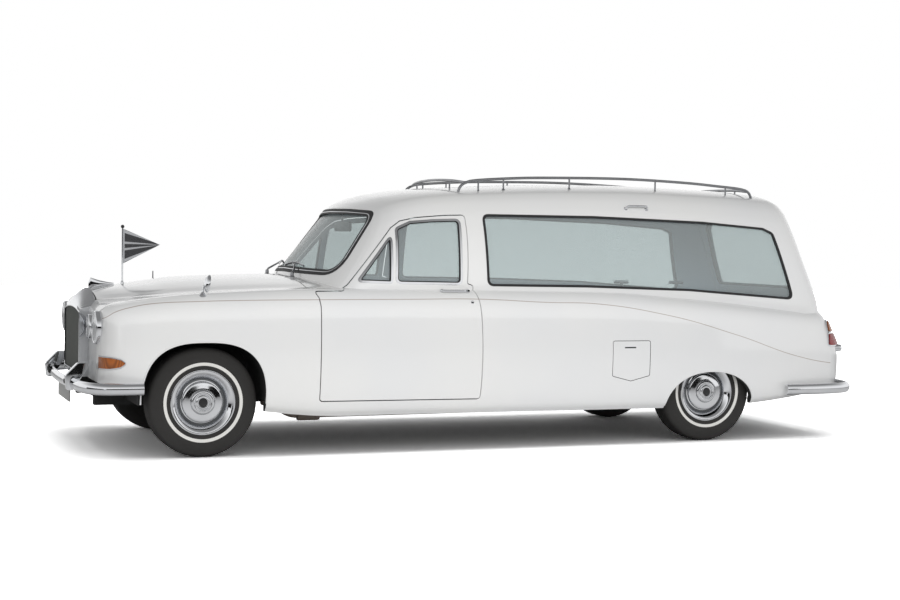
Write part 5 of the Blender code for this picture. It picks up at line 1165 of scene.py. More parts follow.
    def seals(self) -> None:
        """The rubbers round the fixed windows, and the bright frames round the door's."""
        proud, bright = (-0.003, 0.0118), (-0.0045, 0.004)
        for name, window, span, out, back, layer, finish, body in (
            ("screen_rubber", "screen", FRONT_SPAN, 0.014, -0.022, proud, RUBBER, "body"),
            ("screen_trim", "screen", FRONT_SPAN, -0.005, -0.009, bright, CHROME, "body"),
            ("tail_rubber", "tail", REAR_SPAN, 0.008, -0.02, proud, RUBBER, "tailgate"),
        ):
            outers, inners = ([self.solid(self.window(window, grow), *span)] for grow in (out, back))
            self.band(name, outers, inners, layer, finish, body)
        for side in Side:
            door = "door_" + side.word
            for name, windows, out, back, layer, finish, body in (
                ("side_rubber_", ("side",), 0.004, -0.012, proud, RUBBER, "body"),
                ("door_frame_", ("light", "drop"), 0.013, -0.002, (-0.0035, 0.011), CHROME, door),
                ("door_seal_", ("light", "drop"), -0.0015, -0.009, (0.002, 0.0118), RUBBER, door),
            ):
                outers, inners = ([self.side(self.window(w, grow), side) for w in windows] for grow in (out, back))
                self.band(name + side.word, outers, inners, layer, finish, body)

    def corner_lamps(self) -> None:
        """The wrap-round lamps, cut from the body's own form grown a little, each in a bright rim."""
        proud = self.skin.lower_solid("proud", -0.016, 5, finishes=self.inks)
        rim = self.skin.lower_solid("rim", -0.008, 5, finishes=self.inks)
        deep = self.skin.lower_solid("deep", -0.0005, 5, finishes=self.inks)
        rows = (
            ("indicator_", self.lines.indicator, 0.735, AMBER, "amber", True),
            ("tail_lamp_", self.lines.tail_lamp, 0.74, RED, "red", True),
            ("turn_lamp_", self.lines.tail_amber, 0.74, AMBER, "amber", False),
        )
        for side in Side:
            for name, outline, near, finish, slot, node in rows:
                flat = rounded(np.array(outline), 0.02, 5)
                inside = self.side(grown(flat, -0.004), side, near)
                lamp = cut(copied(proud, name + "lens_" + side.word), [inside], "INTERSECT")
                cut(lamp, [copied(deep, "spare")])
                self.single(lamp, finish)
                fit(self.finish(lamp), "body", slot, *([name + side.word] if node else []))
                outside = self.side(grown(flat, 0.004), side, near)
                edge = cut(copied(rim, name + "rim_" + side.word), [outside], "INTERSECT")
                cut(edge, [copied(deep, "spare"), self.side(grown(flat, -0.004), side, near - 0.01)])
                self.single(edge, CHROME)
                fit(self.finish(edge), "body", "chrome")
        for spare in (proud, rim, deep):
            bpy.data.objects.remove(spare)


@dataclass
class Wheel:
    """One road wheel: a polished cap and trim ring on a painted rim, in a tyre with a fine white line."""

    end: str
    side: Side
    # radius, place outwards from the wheel's middle plane
    trim_ring: Rows = (
        (0.1965, 0.06), (0.1965, 0.079), (0.2045, 0.0885), (0.2055, 0.091), (0.203, 0.0935), (0.196, 0.094),
        (0.188, 0.092), (0.178, 0.086), (0.168, 0.077),
        (0.158, 0.066), (0.152, 0.056), (0.15, 0.048), (0.154, 0.046), (0.17, 0.056), (0.185, 0.06),
    )
    rim: Rows = (
        (0.0, -0.074), (0.14, -0.072), (0.156, -0.08), (0.1965, -0.082), (0.1965, 0.06),
        (0.185, 0.059), (0.17, 0.055), (0.154, 0.044), (0.148, 0.04), (0.144, 0.042), (0.13, 0.044),
        (0.0, 0.044),
    )
    cap: Rows = (
        (0.0, 0.045), (0.124, 0.045), (0.129, 0.047), (0.13, 0.053), (0.129, 0.064), (0.1255, 0.07),
        (0.12, 0.073), (0.114, 0.0742), (0.098, 0.0765), (0.084, 0.0785), (0.0785, 0.079), (0.076, 0.083),
        (0.073, 0.088), (0.067, 0.0915), (0.059, 0.0925), (0.053, 0.091), (0.05, 0.0875), (0.048, 0.0865),
        (0.044, 0.088), (0.04, 0.0915), (0.034, 0.0935), (0.03, 0.093), (0.0, 0.0925),
    )
    badge: Rows = ((0.0, 0.0915), (0.029, 0.0915), (0.0285, 0.0938), (0.02, 0.095), (0.0, 0.0955))
    wall: Rows = (
        (0.1973, 0.08), (0.206, 0.088), (0.2179, 0.0928), (0.235, 0.0985), (0.255, 0.1012), (0.275, 0.1025),
        (0.295, 0.1005), (0.312, 0.0975), (0.3273, 0.0925), (0.337, 0.084), (0.342, 0.074), (0.344, 0.066),
    )
    grooves: tuple[float, ...] = (0.052, 0.02)
    groove_width: float = 0.005
    groove_depth: float = 0.007
    line: Rows = (
        (0.23, 0.096), (0.23, 0.0974), (0.233, 0.0991), (0.241, 0.1004), (0.247, 0.101), (0.25, 0.1012),
        (0.25, 0.1),
    )

    def centre(self) -> Point:
        """The wheel's middle."""
        return (FRONT_AXLE_X if self.end == "front" else REAR_AXLE_X, self.side.value * TRACK / 2, WHEEL_Z)

    def tyre_profile(self) -> Table:
        """The tyre's ring: the wall's smooth curve, the tread with its grooves, and the same mirrored."""
        half = curve_through(np.array(self.wall), 3)
        tread = [(0.3445, 0.0615)]
        for place in self.grooves:
            w, d = self.groove_width / 2, self.groove_depth
            tread += [(WHEEL_Z, place + w), (WHEEL_Z - d, place + w * 0.6)]
            tread += [(WHEEL_Z - d, place - w * 0.6), (WHEEL_Z, place - w)]
        outer = np.vstack((half, np.array(tread)))
        return np.vstack((outer, outer[::-1] * (1, -1)))

    def build(self) -> None:
        """Makes the rim, ring, cap, badge, tyre and line."""
        name, centre, sign = f"{self.end}_{self.side.word}", self.centre(), self.side.value
        body = "wheel_" + name
        rim = Shape().lathe(self.rim, centre, sign=sign, segments=72).piece("rim_" + name, RIM)
        fit(rim, body, "wheel", "wheel_" + name)
        bright = Shape().lathe(curve_through(np.array(self.trim_ring), 3), centre, sign=sign, segments=96, ring=True)
        bright.lathe(curve_through(np.array(self.cap), 3), centre, sign=sign, segments=96)
        fit(bright.piece("hub_cap_" + name, CHROME), body, "wheel")
        fit(Shape().lathe(self.badge, centre, sign=sign, segments=48).piece("cap_disc_" + name, BLACK), body, "black")
        tyre = Shape().lathe(self.tyre_profile(), centre, sign=sign, segments=120, ring=True)
        fit(tyre.piece("tyre_skin_" + name, TREAD), body, "tyre", "tyre_" + name)
        line = Shape().lathe(self.line, centre, sign=sign, segments=96, ring=True)
        fit(line.piece("tyre_line_" + name, WHITE_RUBBER), body, "tyre")


@dataclass
class Nose:
    """The grille with its fluted dome and upright slats, the four round lamps and the bonnet's ornament."""

    skin: Skin
    front_x: float = -2.705
    rear_x: float = -2.5995
    bottom_z: float = 0.475
    half: Pair = (0.36, 0.33)
    shoulder: Pair = (0.905, 0.93)
    centre: Pair = (0.935, 1.032)
    flutes: int = 22
    flute_depth: float = 0.011
    power: float = 2.2
    frame: float = 0.026
    slats: int = 34
    # across, height, radius
    lamps: Rows = ((0.7, 0.81, 0.105), (0.44, 0.8, 0.08))
    lamp_x: float = -2.64
    lamp_depth: float = 0.052

    def dome(self, shares: Table, across: Table) -> Table:
        """The dome's points: an arch of the given power over each pair of shoulders, less the flutes' half waves.

        Args:
            shares: how far back each ring lies, from 0 to 1.
            across: places across the dome, from -1 to 1.

        Returns:
            A table of rings by places by three.
        """
        t, s = shares[:, None], across[None, :]
        half = self.half[0] + (self.half[1] - self.half[0]) * t
        shoulder = self.shoulder[0] + (self.shoulder[1] - self.shoulder[0]) * t
        centre = self.centre[0] + (self.centre[1] - self.centre[0]) * np.sin(t * math.pi / 2)
        wave = 1 - np.abs(np.cos((s + 1) * self.flutes * math.pi / 2))
        arch = shoulder + (1 - np.abs(s) ** self.power) * (centre - shoulder)
        z = arch - self.flute_depth * np.minimum(1, 1.6 * t) * wave
        x = self.front_x + (self.rear_x - self.front_x) * t + 0 * s
        return np.stack((x, half * s, z), axis=-1)

    def opening(self, grow: float = 0.0) -> Table:
        """The outline inside the grille's frame."""
        across = np.linspace(-1, 1, 41)
        arch = self.dome(np.zeros(1), across)[0, :, 1:]
        outline = np.vstack(((-self.half[0], self.bottom_z), arch, (self.half[0], self.bottom_z)))
        return grown(rounded(grown(outline, -self.frame), 0.03, 5), grow)

    def grille(self) -> None:
        """The chrome shell and the slats behind it."""
        across = np.linspace(-1, 1, self.flutes * 10 + 1)
        table = self.dome(np.linspace(0, 1, 15), across)
        under = table * (1, 1, 0) + (0, 0, self.bottom_z)
        shape = Shape().grid(np.concatenate((table, under[:, ::-1]), axis=1), wrap_columns=True)
        for row in (0, -1):
            shape.grid(np.stack((table[row], under[row])))
        shell = shape.piece("grille_dome", CHROME, angle=50)
        opening = Shape().prism(self.opening(), -3.0, -2.66, "X").piece("opening", CHROME)
        cut(shell, [opening])
        shade(shell.data, 50)
        fit(shell, "body", "chrome", "grille_shell")
        edge = self.opening(0.001)
        bead = np.column_stack((np.full(len(edge), self.front_x + 0.001), edge))
        fit(Shape().tube(bead, 0.0045, (1, 0, 0), 10, True).piece("grille_bead", CHROME), "body", "chrome")
        self.blades()

    def blades(self) -> None:
        """Upright slats: the front surface is a row of half waves, cut to the frame's opening."""
        y = np.linspace(-self.half[0], self.half[0], self.slats * 10 + 1)
        wave = np.abs(np.sin((y + self.half[0]) / (2 * self.half[0]) * self.slats * math.pi)) ** 0.45
        front = self.front_x + 0.026 - 0.018 * wave
        back = self.front_x + 0.05
        comb = np.vstack((np.column_stack((front, y)), (back, self.half[0]), (back, -self.half[0])))
        slats = Shape().prism(comb, self.bottom_z, 1.1, "Z").piece("slats", SLATS)
        edge = Shape().prism(self.opening(-SEAT_GAP), -3.0, -2.6453, "X").piece("edge", SLATS)
        cut(slats, [edge], "INTERSECT")
        shade(slats.data, 40)
        fit(slats, "body", "slats", "grille")
        bars = Shape().prism(self.opening(-SEAT_GAP), back, -2.6453, "X").piece("grille_back", UNDERSEAL)
        fit(bars, "body", "black")

    def lamp(self, name: str, side: Side, y: float, z: float, radius: float) -> None:
        """One round lamp: a chrome bucket and rim, and a domed, fluted lens."""
        centre, d = (self.lamp_x, side.value * y, z), self.lamp_depth
        bucket = np.array((
            (0.82, -0.35), (0.92, -0.3), (0.99, -0.05), (1.0, 0.15), (0.995, 0.34), (0.97, 0.46), (0.93, 0.52),
            (0.885, 0.5), (0.86, 0.44), (0.85, 0.34), (0.8, 0.1),
        )) * (radius, d)
        rim = Shape().lathe(curve_through(bucket, 3), centre, "X", -1, 80, ring=True)
        fit(rim.piece(f"{name}_rim_{side.word}", CHROME), "body", "chrome")
        share = np.linspace(0, 1, 13)
        dome = np.column_stack((0.86 * radius * share, d * (0.62 - 0.2 * share**2)))
        back = np.column_stack((0.86 * radius * share[::-1], np.full(13, d * 0.3)))
        lens = Shape().lathe(np.vstack((dome, back)), centre, "X", -1, 64)
        fit(lens.piece(f"{name}_lens_{side.word}", HEADLAMP), "body", "lamp", f"{name}_{side.word}")

    def ornament(self) -> None:
        """A plain swept fin on a slim foot along the bonnet: a flat teardrop thickened by a half wave."""
        u = np.linspace(0, 1, 41)
        top = np.interp(u, (0, 0.08, 0.45, 0.8, 1), (1.066, 1.096, 1.078, 1.066, 1.062))
        x = -2.6 + 0.165 * u
        low = np.array([self.skin.bonnet_z(a) for a in np.maximum(x, -2.59)]) - 0.006
        wide = 0.0115 * np.sin(np.pi * np.clip(u * 0.92 + 0.06, 0, 1)) ** 0.6
        turns = np.linspace(0, 2 * math.pi, 20, endpoint=False)
        y = wide[:, None] * np.sign(np.cos(turns)) * np.abs(np.cos(turns)) ** 0.7
        middle, rise = (top + low)[:, None] / 2, (top - low)[:, None] / 2
        z = middle + rise * np.sin(turns)
        table = np.stack((np.repeat(x[:, None], 20, axis=1), y, z), axis=-1)
        fin = Shape().grid(table, wrap_columns=True).cap(table[0]).cap(table[-1])
        fit(fin.piece("bonnet_fin", CHROME), "bonnet", "chrome", "ornament")

    def mast(self) -> None:
        """The flag's mast with its black ball and turned foot."""
        x, foot = -2.38, self.skin.bonnet_z(-2.38)
        profile = [(0, foot - 0.004), (0.0125, foot - 0.004), (0.0125, foot + 0.004), (0.0105, foot + 0.008),
                   (0.0066, foot + 0.018), (0.0054, foot + 0.024), (0.0054, 1.424), (0, 1.424)]
        mast = Shape().lathe(profile, (x, 0, 0), "Z", segments=24)
        fit(mast.piece("mast", CHROME), "bonnet", "chrome", "flag_mast")
        turns = np.linspace(-math.pi / 2, math.pi / 2, 13)
        ball = np.column_stack((0.012 * np.cos(turns), 1.434 + 0.012 * np.sin(turns)))
        fit(Shape().lathe(ball, (x, 0, 0), "Z", segments=24).piece("mast_ball", BLACK), "bonnet", "black")

    def pennant(self) -> None:
        """The three-cornered flag: rows from the mast to the tip that narrow evenly, with a slow wave across."""
        u = np.linspace(0, 1, 49)[:, None]
        v = np.linspace(0, 1, 33)[None, :]
        low = 1.19 + (1.317 - 1.19) * u
        high = 1.42 + (1.317 - 1.42) * u
        x = -2.3758 + 0.2438 * u + 0 * v
        y = 0.007 * u * np.sin(7.0 * u + 1.5 * v) + 0 * v
        table = np.stack((x, y, low + (high - low) * v), axis=-1)
        cloth = Shape().grid(table).piece("mourning_flag", FLAG, angle=180)
        thick = cloth.modifiers.new("thickness", "SOLIDIFY")
        thick.thickness, thick.offset = 0.0008, 0
        fit(cloth, "bonnet", "cloth", "pennant")

    def build(self) -> None:
        """Makes the nose's pieces."""
        self.grille()
        for side in Side:
            for name, (y, z, radius) in zip(("headlamp", "driving_lamp"), self.lamps):
                self.lamp(name, side, y, z, radius)
        self.ornament()
        self.mast()
        self.pennant()


@dataclass
class Bumper:
    """A chrome bar with rounded overriders, carried by two irons."""

    name: str
    node: str
    # along, across
    path: Rows
    z: float
    height: float
    guard: Rows
    guard_y: float
    irons: Rows
    iron_y: float
    way: int
    plate: tuple[float, float, float, float] | None = None
    depth: float = 0.028
    guard_width: float = 0.054

    def bar(self) -> Shape:
        """The bar: a section with a bowed face, carried along the smooth path and its mirror image."""
        half = np.array(self.path)
        whole = np.vstack((half * (1, -1), half[-2::-1]))
        curve = curve_through(whole, 10)
        path = np.column_stack((curve, np.full(len(curve), self.z)))
        turns = np.radians(np.linspace(-80, 80, 15))
        face = np.column_stack((self.depth / 2 * (2 * np.cos(turns) - 1), self.height / 2 * np.sin(turns)))
        back = np.column_stack((face[::-1, 0] - 0.006, face[::-1, 1] * 0.9))
        section = np.vstack((face, back))
        return Shape().sweep(path, section * (self.way, 1), (0, 0, 1))

    def build(self) -> None:
        """Makes the bar, its irons, the overriders and the blank plate."""
        fit(self.bar().piece(self.name + "_bar", CHROME, angle=50), "body", "chrome", self.node)
        for side in Side:
            low, high = sorted(side.value * (self.guard_y + k * self.guard_width / 2) for k in (-1, 1))
            outline = rounded(np.array(self.guard), 0.03, 5)
            guard = Shape().prism(outline, low, high).piece(f"{self.name}_overrider_{side.word}", CHROME)
            fit(bevelled(guard, 0.009, 4), "body", "chrome")
            low, high = sorted(side.value * (self.iron_y + k * 0.025) for k in (-1, 1))
            iron = Shape().prism(np.array(self.irons), low, high).piece(f"{self.name}_iron_{side.word}", UNDERSEAL)
            fit(bevelled(iron, 0.004, 2), "body", "chassis")
        if self.plate:
            x, half, low, high = self.plate
            plate = Shape().box((x - 0.01, -half, low), (x, half, high)).piece(self.name + "_plate", PLATE)
            fit(bevelled(plate, 0.003, 2), "body", "paint")


def bumpers() -> list[Bumper]:
    """The front and the rear bumper."""
    front = Bumper(
        "front", "front_bumper",
        ((-2.403, 0.966), (-2.52, 0.964), (-2.625, 0.945), (-2.705, 0.88), (-2.75, 0.76), (-2.772, 0.55),
         (-2.786, 0.3), (-2.792, 0.0)),
        0.447, 0.074, ((-2.806, 0.405), (-2.764, 0.405), (-2.655, 0.578), (-2.735, 0.58), (-2.814, 0.5)), 0.5,
        ((-2.805, 0.44), (-2.6203, 0.355), (-2.6203, 0.385), (-2.805, 0.47)), 0.395, -1, (-2.745, 0.26, 0.306, 0.428),
    )
    rear = Bumper(
        "rear", "rear_bumper",
        ((2.145, 0.966), (2.3, 0.966), (2.5, 0.955), (2.65, 0.915), (2.75, 0.82), (2.795, 0.6),
         (2.812, 0.3), (2.818, 0.0)),
        0.362, 0.076, ((2.836, 0.33), (2.8, 0.33), (2.76, 0.49), (2.795, 0.49), (2.84, 0.42)), 0.45,
        ((2.69, 0.347), (2.8, 0.347), (2.8, 0.377), (2.69, 0.377)), 0.45, 1,
    )
    return [front, rear]


@dataclass
class RoofRail:
    """The steel tray rail: two side tubes on posts, and a bowed cross tube at each end."""

    # along, height
    side_path: Rows = (
        (-0.225, 1.7), (-0.205, 1.745), (-0.165, 1.772), (-0.1, 1.788), (0.1, 1.805), (0.4, 1.82),
        (1.0, 1.83), (1.5, 1.817), (1.8, 1.798), (1.97, 1.784), (2.04, 1.762), (2.07, 1.71),
    )
    posts: Rows = ((-0.075, 1.79), (0.11, 1.806), (0.606, 1.824), (1.278, 1.824), (1.85, 1.795))
    crosses: Rows = ((-0.165, 1.772, -0.215, 1.8), (2.03, 1.766, 2.075, 1.785))
    y: float = 0.55
    cross_y: float = 0.33
    radius: float = 0.0095
    post_radius: float = 0.006

    def post(self, shape: Shape, x: float, y: float, z: float) -> None:
        """One post with a flared foot."""
        foot = z - 0.08
        profile = [(0, foot), (0.013, foot), (0.013, foot + 0.004), (self.post_radius, foot + 0.012),
                   (self.post_radius, z), (0, z)]
        shape.lathe(profile, (x, y, 0), "Z", segments=16)

    def build(self) -> None:
        """Makes the whole rail as one piece."""
        shape = Shape()
        side = curve_through(np.array(self.side_path), 6)
        for sign in (-1, 1):
            path = np.column_stack((side[:, 0], np.full(len(side), sign * self.y), side[:, 1]))
            shape.tube(path, self.radius, (0, 1, 0))
            for x, z in self.posts:
                self.post(shape, x, sign * self.y, z)
        for end_x, end_z, x, z in self.crosses:
            near = (0.3 * end_x + 0.7 * x, self.cross_y, 0.3 * end_z + 0.7 * z)
            half = [(end_x, self.y, end_z), near]
            path = [(a, -b, c) for a, b, c in half] + [(x, 0, z)] + half[::-1]
            shape.tube(curve_through(np.array(path), 10), self.radius)
            for sign in (-1, 1):
                self.post(shape, near[0], sign * self.cross_y, near[2])
        fit(shape.piece("tray_rail", STEEL), "body", "chrome", "roof_rail")


def tilted(shape: Shape, degrees: float, centre: Point) -> Shape:
    """Turns a shape's points about the cross axis through a centre, tops forwards."""
    angle, middle = math.radians(degrees), np.asarray(centre, float)
    turn = np.array(((math.cos(angle), 0, math.sin(angle)), (0, 1, 0), (-math.sin(angle), 0, math.cos(angle))))
    shape.points = [(points - middle) @ turn + middle for points in shape.points]
    return shape


def loop(ends: Pair, reach: float, corner: float) -> Table:
    """A handle's path: out from one end, along, and back to the other, as pairs of place and distance out."""
    low, high = ends
    half = ((low, -0.004), (low, 0.45 * reach), (low + 0.3 * corner, 0.85 * reach), (low + corner, reach))
    return curve_through(np.array(half + tuple((low + high - a, b) for a, b in half[::-1])), 6)


@dataclass
class Fittings:
    """The small bright pieces on the outside: handles, locks, the wing mirror, wipers and reversing lamps."""

    skin: Skin
    handle: Point = (-0.462, -0.292, 1.05)
    lock: Pair = (-0.261, 0.977)
    grab: Point = (0.955, 1.115, 1.616)
    grab_y: float = 0.731
    grab_lean: Pair = (0.81, 0.59)
    mirror: Point = (-2.003, -0.872, 1.088)
    mirror_foot: Point = (-2.03, -0.872, 1.013)
    wipers: tuple[float, ...] = (-0.33, 0.33)
    # the windscreen's plane: along at no height, slope, bow
    screen: Point = (-2.221, 0.8147, 0.3476)
    reversing: Point = (0.8, 0.643, 0.027)
    # radius and place along the axis of each turned form
    button: Rows = (
        (0, -0.006), (0.0135, -0.006), (0.0135, 0.006), (0.0115, 0.011), (0.0105, 0.024), (0.0085, 0.028),
        (0, 0.0285),
    )
    button_plate: Rows = ((0, -0.006), (0.0125, -0.006), (0.0125, 0.003), (0.0105, 0.0045), (0, 0.005))
    barrel: Rows = (
        (0, -0.004), (0.0115, -0.004), (0.0115, 0.002), (0.0095, 0.0045), (0.006, 0.005), (0.005, 0.003), (0, 0.003),
    )
    grab_foot: Rows = ((0, -0.006), (0.0145, -0.006), (0.0145, 0.002), (0.012, 0.006), (0.008, 0.009), (0, 0.009))
    mirror_head: Rows = (
        (0.0, -0.017), (0.35, -0.016), (0.7, -0.011), (0.92, -0.002), (1.0, 0.006), (1.0, 0.01), (0.96, 0.012),
        (0.94, 0.009), (0.0, 0.009),
    )
    mirror_half: Pair = (0.047, 0.056)
    mirror_lean: float = -8
    trumpet: Rows = (
        (0, -0.008), (0.0245, -0.008), (0.025, 0.002), (0.02, 0.008), (0.012, 0.016), (0.008, 0.026), (0.0068, 0.034),
        (0, 0.034),
    )
    spindle: Rows = (
        (0, -0.01), (0.019, -0.01), (0.018, 0.004), (0.0125, 0.01), (0.0115, 0.028), (0.0085, 0.034), (0, 0.036),
    )
    cup: Rows = (
        (0.0, -0.02), (0.8, -0.02), (0.95, 0.0), (1.0, 0.014), (1.0, 0.03), (0.94, 0.037), (0.87, 0.036),
        (0.85, 0.028), (0.0, 0.028),
    )
    key: Rows = ((0, -0.006), (0.016, -0.006), (0.016, 0.004), (0.012, 0.008), (0, 0.009))

    def door_handle(self, side: Side) -> None:
        """A slim pull handle with a push button at its rear, and the lock below it."""
        low, high, z = self.handle
        sign, body = side.value, "door_" + side.word
        flat = loop((low, high), 0.026, 0.04)
        y = np.array([self.skin.side_y(a, z - 0.006) for a in flat[:, 0]]) + flat[:, 1]
        path = np.column_stack((flat[:, 0], sign * y, np.full(len(flat), z)))
        turns = np.linspace(0, 2 * math.pi, 16, endpoint=False)
        section = np.stack((0.0055 * np.cos(turns), 0.0085 * np.sin(turns)), axis=1)
        shape = Shape().sweep(path, section)
        base = self.skin.side_y(high, z - 0.006)
        shape.lathe(self.button, (high + 0.012, sign * base, z), sign=sign, segments=28)
        shape.lathe(self.button_plate, (low + 0.004, sign * base, z), sign=sign, segments=24)
        fit(shape.piece("door_handle_" + side.word, CHROME), body, "chrome")
        x, z = self.lock
        lock = Shape().lathe(self.barrel, (x, sign * self.skin.side_y(x, z), z), sign=sign, segments=28)
        fit(lock.piece("door_lock_" + side.word, CHROME), body, "chrome")

    def grab_handle(self, side: Side) -> None:
        """A chrome loop on the cant rail, on two round feet."""
        low, high, z = self.grab
        flat = loop((low, high), 0.036, 0.03)
        out, up = self.grab_lean
        path = np.column_stack((flat[:, 0], side.value * (self.grab_y + out * flat[:, 1]), z + up * flat[:, 1]))
        shape = Shape().tube(path, 0.0068, (0, side.value * out, up))
        lean = math.atan2(up, out)
        for x in (low, high):
            ring = Shape().lathe(self.grab_foot, (0, 0, 0), "Y", 1, 24)
            cos, sin = math.cos(lean), math.sin(lean)
            turn = np.array(((1, 0, 0), (0, cos, sin), (0, -sin, cos)))
            table = (ring.points[0] @ turn) * (1, side.value, 1) + (x, side.value * self.grab_y, z)
            shape.grid(table.reshape(24, -1, 3), True)
        fit(shape.piece("grab_handle_" + side.word, CHROME), "body", "chrome")

    def wing_mirror(self) -> None:
        """An upright oval head on a bent stalk with a trumpet foot, on the left wing."""
        x, y, z = self.mirror
        wide, tall = self.mirror_half
        share, depth = np.array(self.mirror_head).T
        turns = np.linspace(0, 2 * math.pi, 48, endpoint=False)[:, None]
        depth = np.broadcast_to(depth, (48, len(share)))
        ring = np.stack((depth, wide * share * np.cos(turns), tall * share * np.sin(turns)), axis=-1)
        leaning = tilted(Shape().grid(ring, True), self.mirror_lean, (0, 0, 0)).points[0]
        head = leaning.reshape(ring.shape) + (x, y, z)
        shape = Shape().grid(head, True)
        fx, fy, fz = self.mirror_foot
        shape.lathe(self.trumpet, (fx, fy, fz), "Z", segments=32)
        stalk = np.array(((fx, fy, fz + 0.03), (fx + 0.003, fy, fz + 0.048), (fx + 0.008, fy, fz + 0.062),
                          (x - 0.01, y, z - 0.012)))
        shape.tube(curve_through(stalk, 5), 0.0052, (0, 1, 0))
        fit(shape.piece("wing_mirror", CHROME), "body", "chrome", "mirror_left")
        glass = Shape().lathe([(0, 0), (0.93, 0), (0.93, 0.0012), (0, 0.0012)], (0, 0, 0), "X", 1, 48).points[0]
        glass = glass * (1, wide, tall) + (0.0092, 0, 0)
        pane = tilted(Shape().grid(glass.reshape(48, -1, 3), True), self.mirror_lean, (0, 0, 0))
        pane.points = [p + (x, y, z) for p in pane.points]
        fit(pane.piece("wing_mirror_glass", STEEL), "body", "chrome")

    def on_screen(self, y: Table, z: Table, off: float) -> Table:
        """Points a distance in front of the windscreen's surface."""
        start, slope, bow = self.screen
        x = start + slope * z + bow * y * y
        ahead = unit(np.stack((-np.ones_like(y), 2 * bow * y, np.full_like(y, slope)), axis=-1))
        return np.stack((x, y, z), axis=-1) + off * ahead

    def wiper(self, y: float) -> None:
        """A wiper at rest: its spindle on the scuttle, a tapered arm, and a blade low on the glass."""
        base = np.array((-1.312, y, self.skin.bonnet_z(-1.335, y) - 0.002))
        shape = Shape().lathe(self.spindle, tuple(base), "Z", segments=24)
        middle = self.on_screen(np.array([y + 0.19]), np.array([1.196]), 0.017)[0]
        elbow = 0.45 * base + 0.55 * middle + (0.012, 0, 0.022)
        arm = np.array((base + (0, 0, 0.024), base + (0.02, 0.035, 0.042), elbow, middle))
        flat = np.array(((-0.5, -0.3), (0.5, -0.3), (0.5, 0.3), (-0.5, 0.3))) * 0.012
        path = curve_through(arm, 6)
        shape.sweep(path, flat, (0.6, 0, 0.8), scale=np.linspace(1.15, 0.65, len(path)))
        along = np.linspace(y + 0.015, y + 0.365, 22)
        high = 1.186 + 0.02 * np.sin(np.linspace(0, math.pi, 22))
        bridge = self.on_screen(along, high, 0.013)
        shape.sweep(bridge, flat * (0.35, 1.0), (0.6, 0, 0.8), ink=0)
        blade = self.on_screen(along, high, 0.0055)
        shape.sweep(blade, flat * (0.3, 1.15), (0.6, 0, 0.8), ink=1)
        name = "wiper_left" if y < 0 else "wiper_right"
        fit(shape.piece(name, STEEL, RUBBER), "body", "chrome")

    def reversing_lamp(self, side: Side) -> None:
        """A small round lamp in a chrome cup under the tail lamp."""
        y, z, radius = self.reversing
        centre = (float(self.skin.tail_x(z)) - 0.022, side.value * y, z)
        shape = Shape().lathe(np.array(self.cup) * (radius, 1), centre, "X", 1, 40)
        fit(shape.piece("reversing_cup_" + side.word, CHROME), "body", "chrome")
        share = np.linspace(0, 1, 8)
        dome = np.column_stack((0.84 * radius * share, 0.04 - 0.008 * share**2))
        lens = Shape().lathe(np.vstack((dome, (0.84 * radius, 0.0285), (0, 0.0285))), centre, "X", 1, 40)
        fit(lens.piece("reversing_lens_" + side.word, HEADLAMP), "body", "lamp")

    def gate_handle(self) -> None:
        """The tailgate's bar handle with a key barrel, low on its middle."""
        z = 0.65
        flat = loop((-0.075, 0.075), 0.03, 0.03)
        path = np.column_stack((float(self.skin.tail_x(z)) + flat[:, 1], flat[:, 0], np.full(len(flat), z)))
        shape = Shape().tube(path, 0.0075)
        shape.lathe(self.key, (float(self.skin.tail_x(z + 0.045)), 0, z + 0.045), "X", 1, 28)
        fit(shape.piece("tailgate_handle", CHROME), "tailgate", "chrome")

    def rear_plate(self) -> None:
        """A blank plate below the tailgate."""
        shape = Shape().box((2.686, -0.26, 0.432), (2.696, 0.26, 0.542))
        fit(bevelled(shape.piece("rear_plate", PLATE), 0.003, 2), "body", "paint")

    def stub(self) -> None:
        """A short black rod on a collar, on the right wing."""
        x, y = -2.025, 0.82
        foot = self.skin.bonnet_z(x, 0.66) - 0.004
        profile = [(0, foot), (0.011, foot), (0.011, foot + 0.008), (0.007, foot + 0.014), (0.0045, foot + 0.022),
                   (0.0035, 1.122), (0, 1.124)]
        fit(Shape().lathe(profile, (x, y, 0), "Z", segments=20).piece("wing_stub", BLACK), "body", "black")

    def build(self) -> None:
        """Makes every fitting."""
        self.stub()
        for side in Side:
            self.door_handle(side)
            self.grab_handle(side)
            self.reversing_lamp(side)
        for y in self.wipers:
            self.wiper(y)
        self.wing_mirror()
        self.gate_handle()
        self.rear_plate()


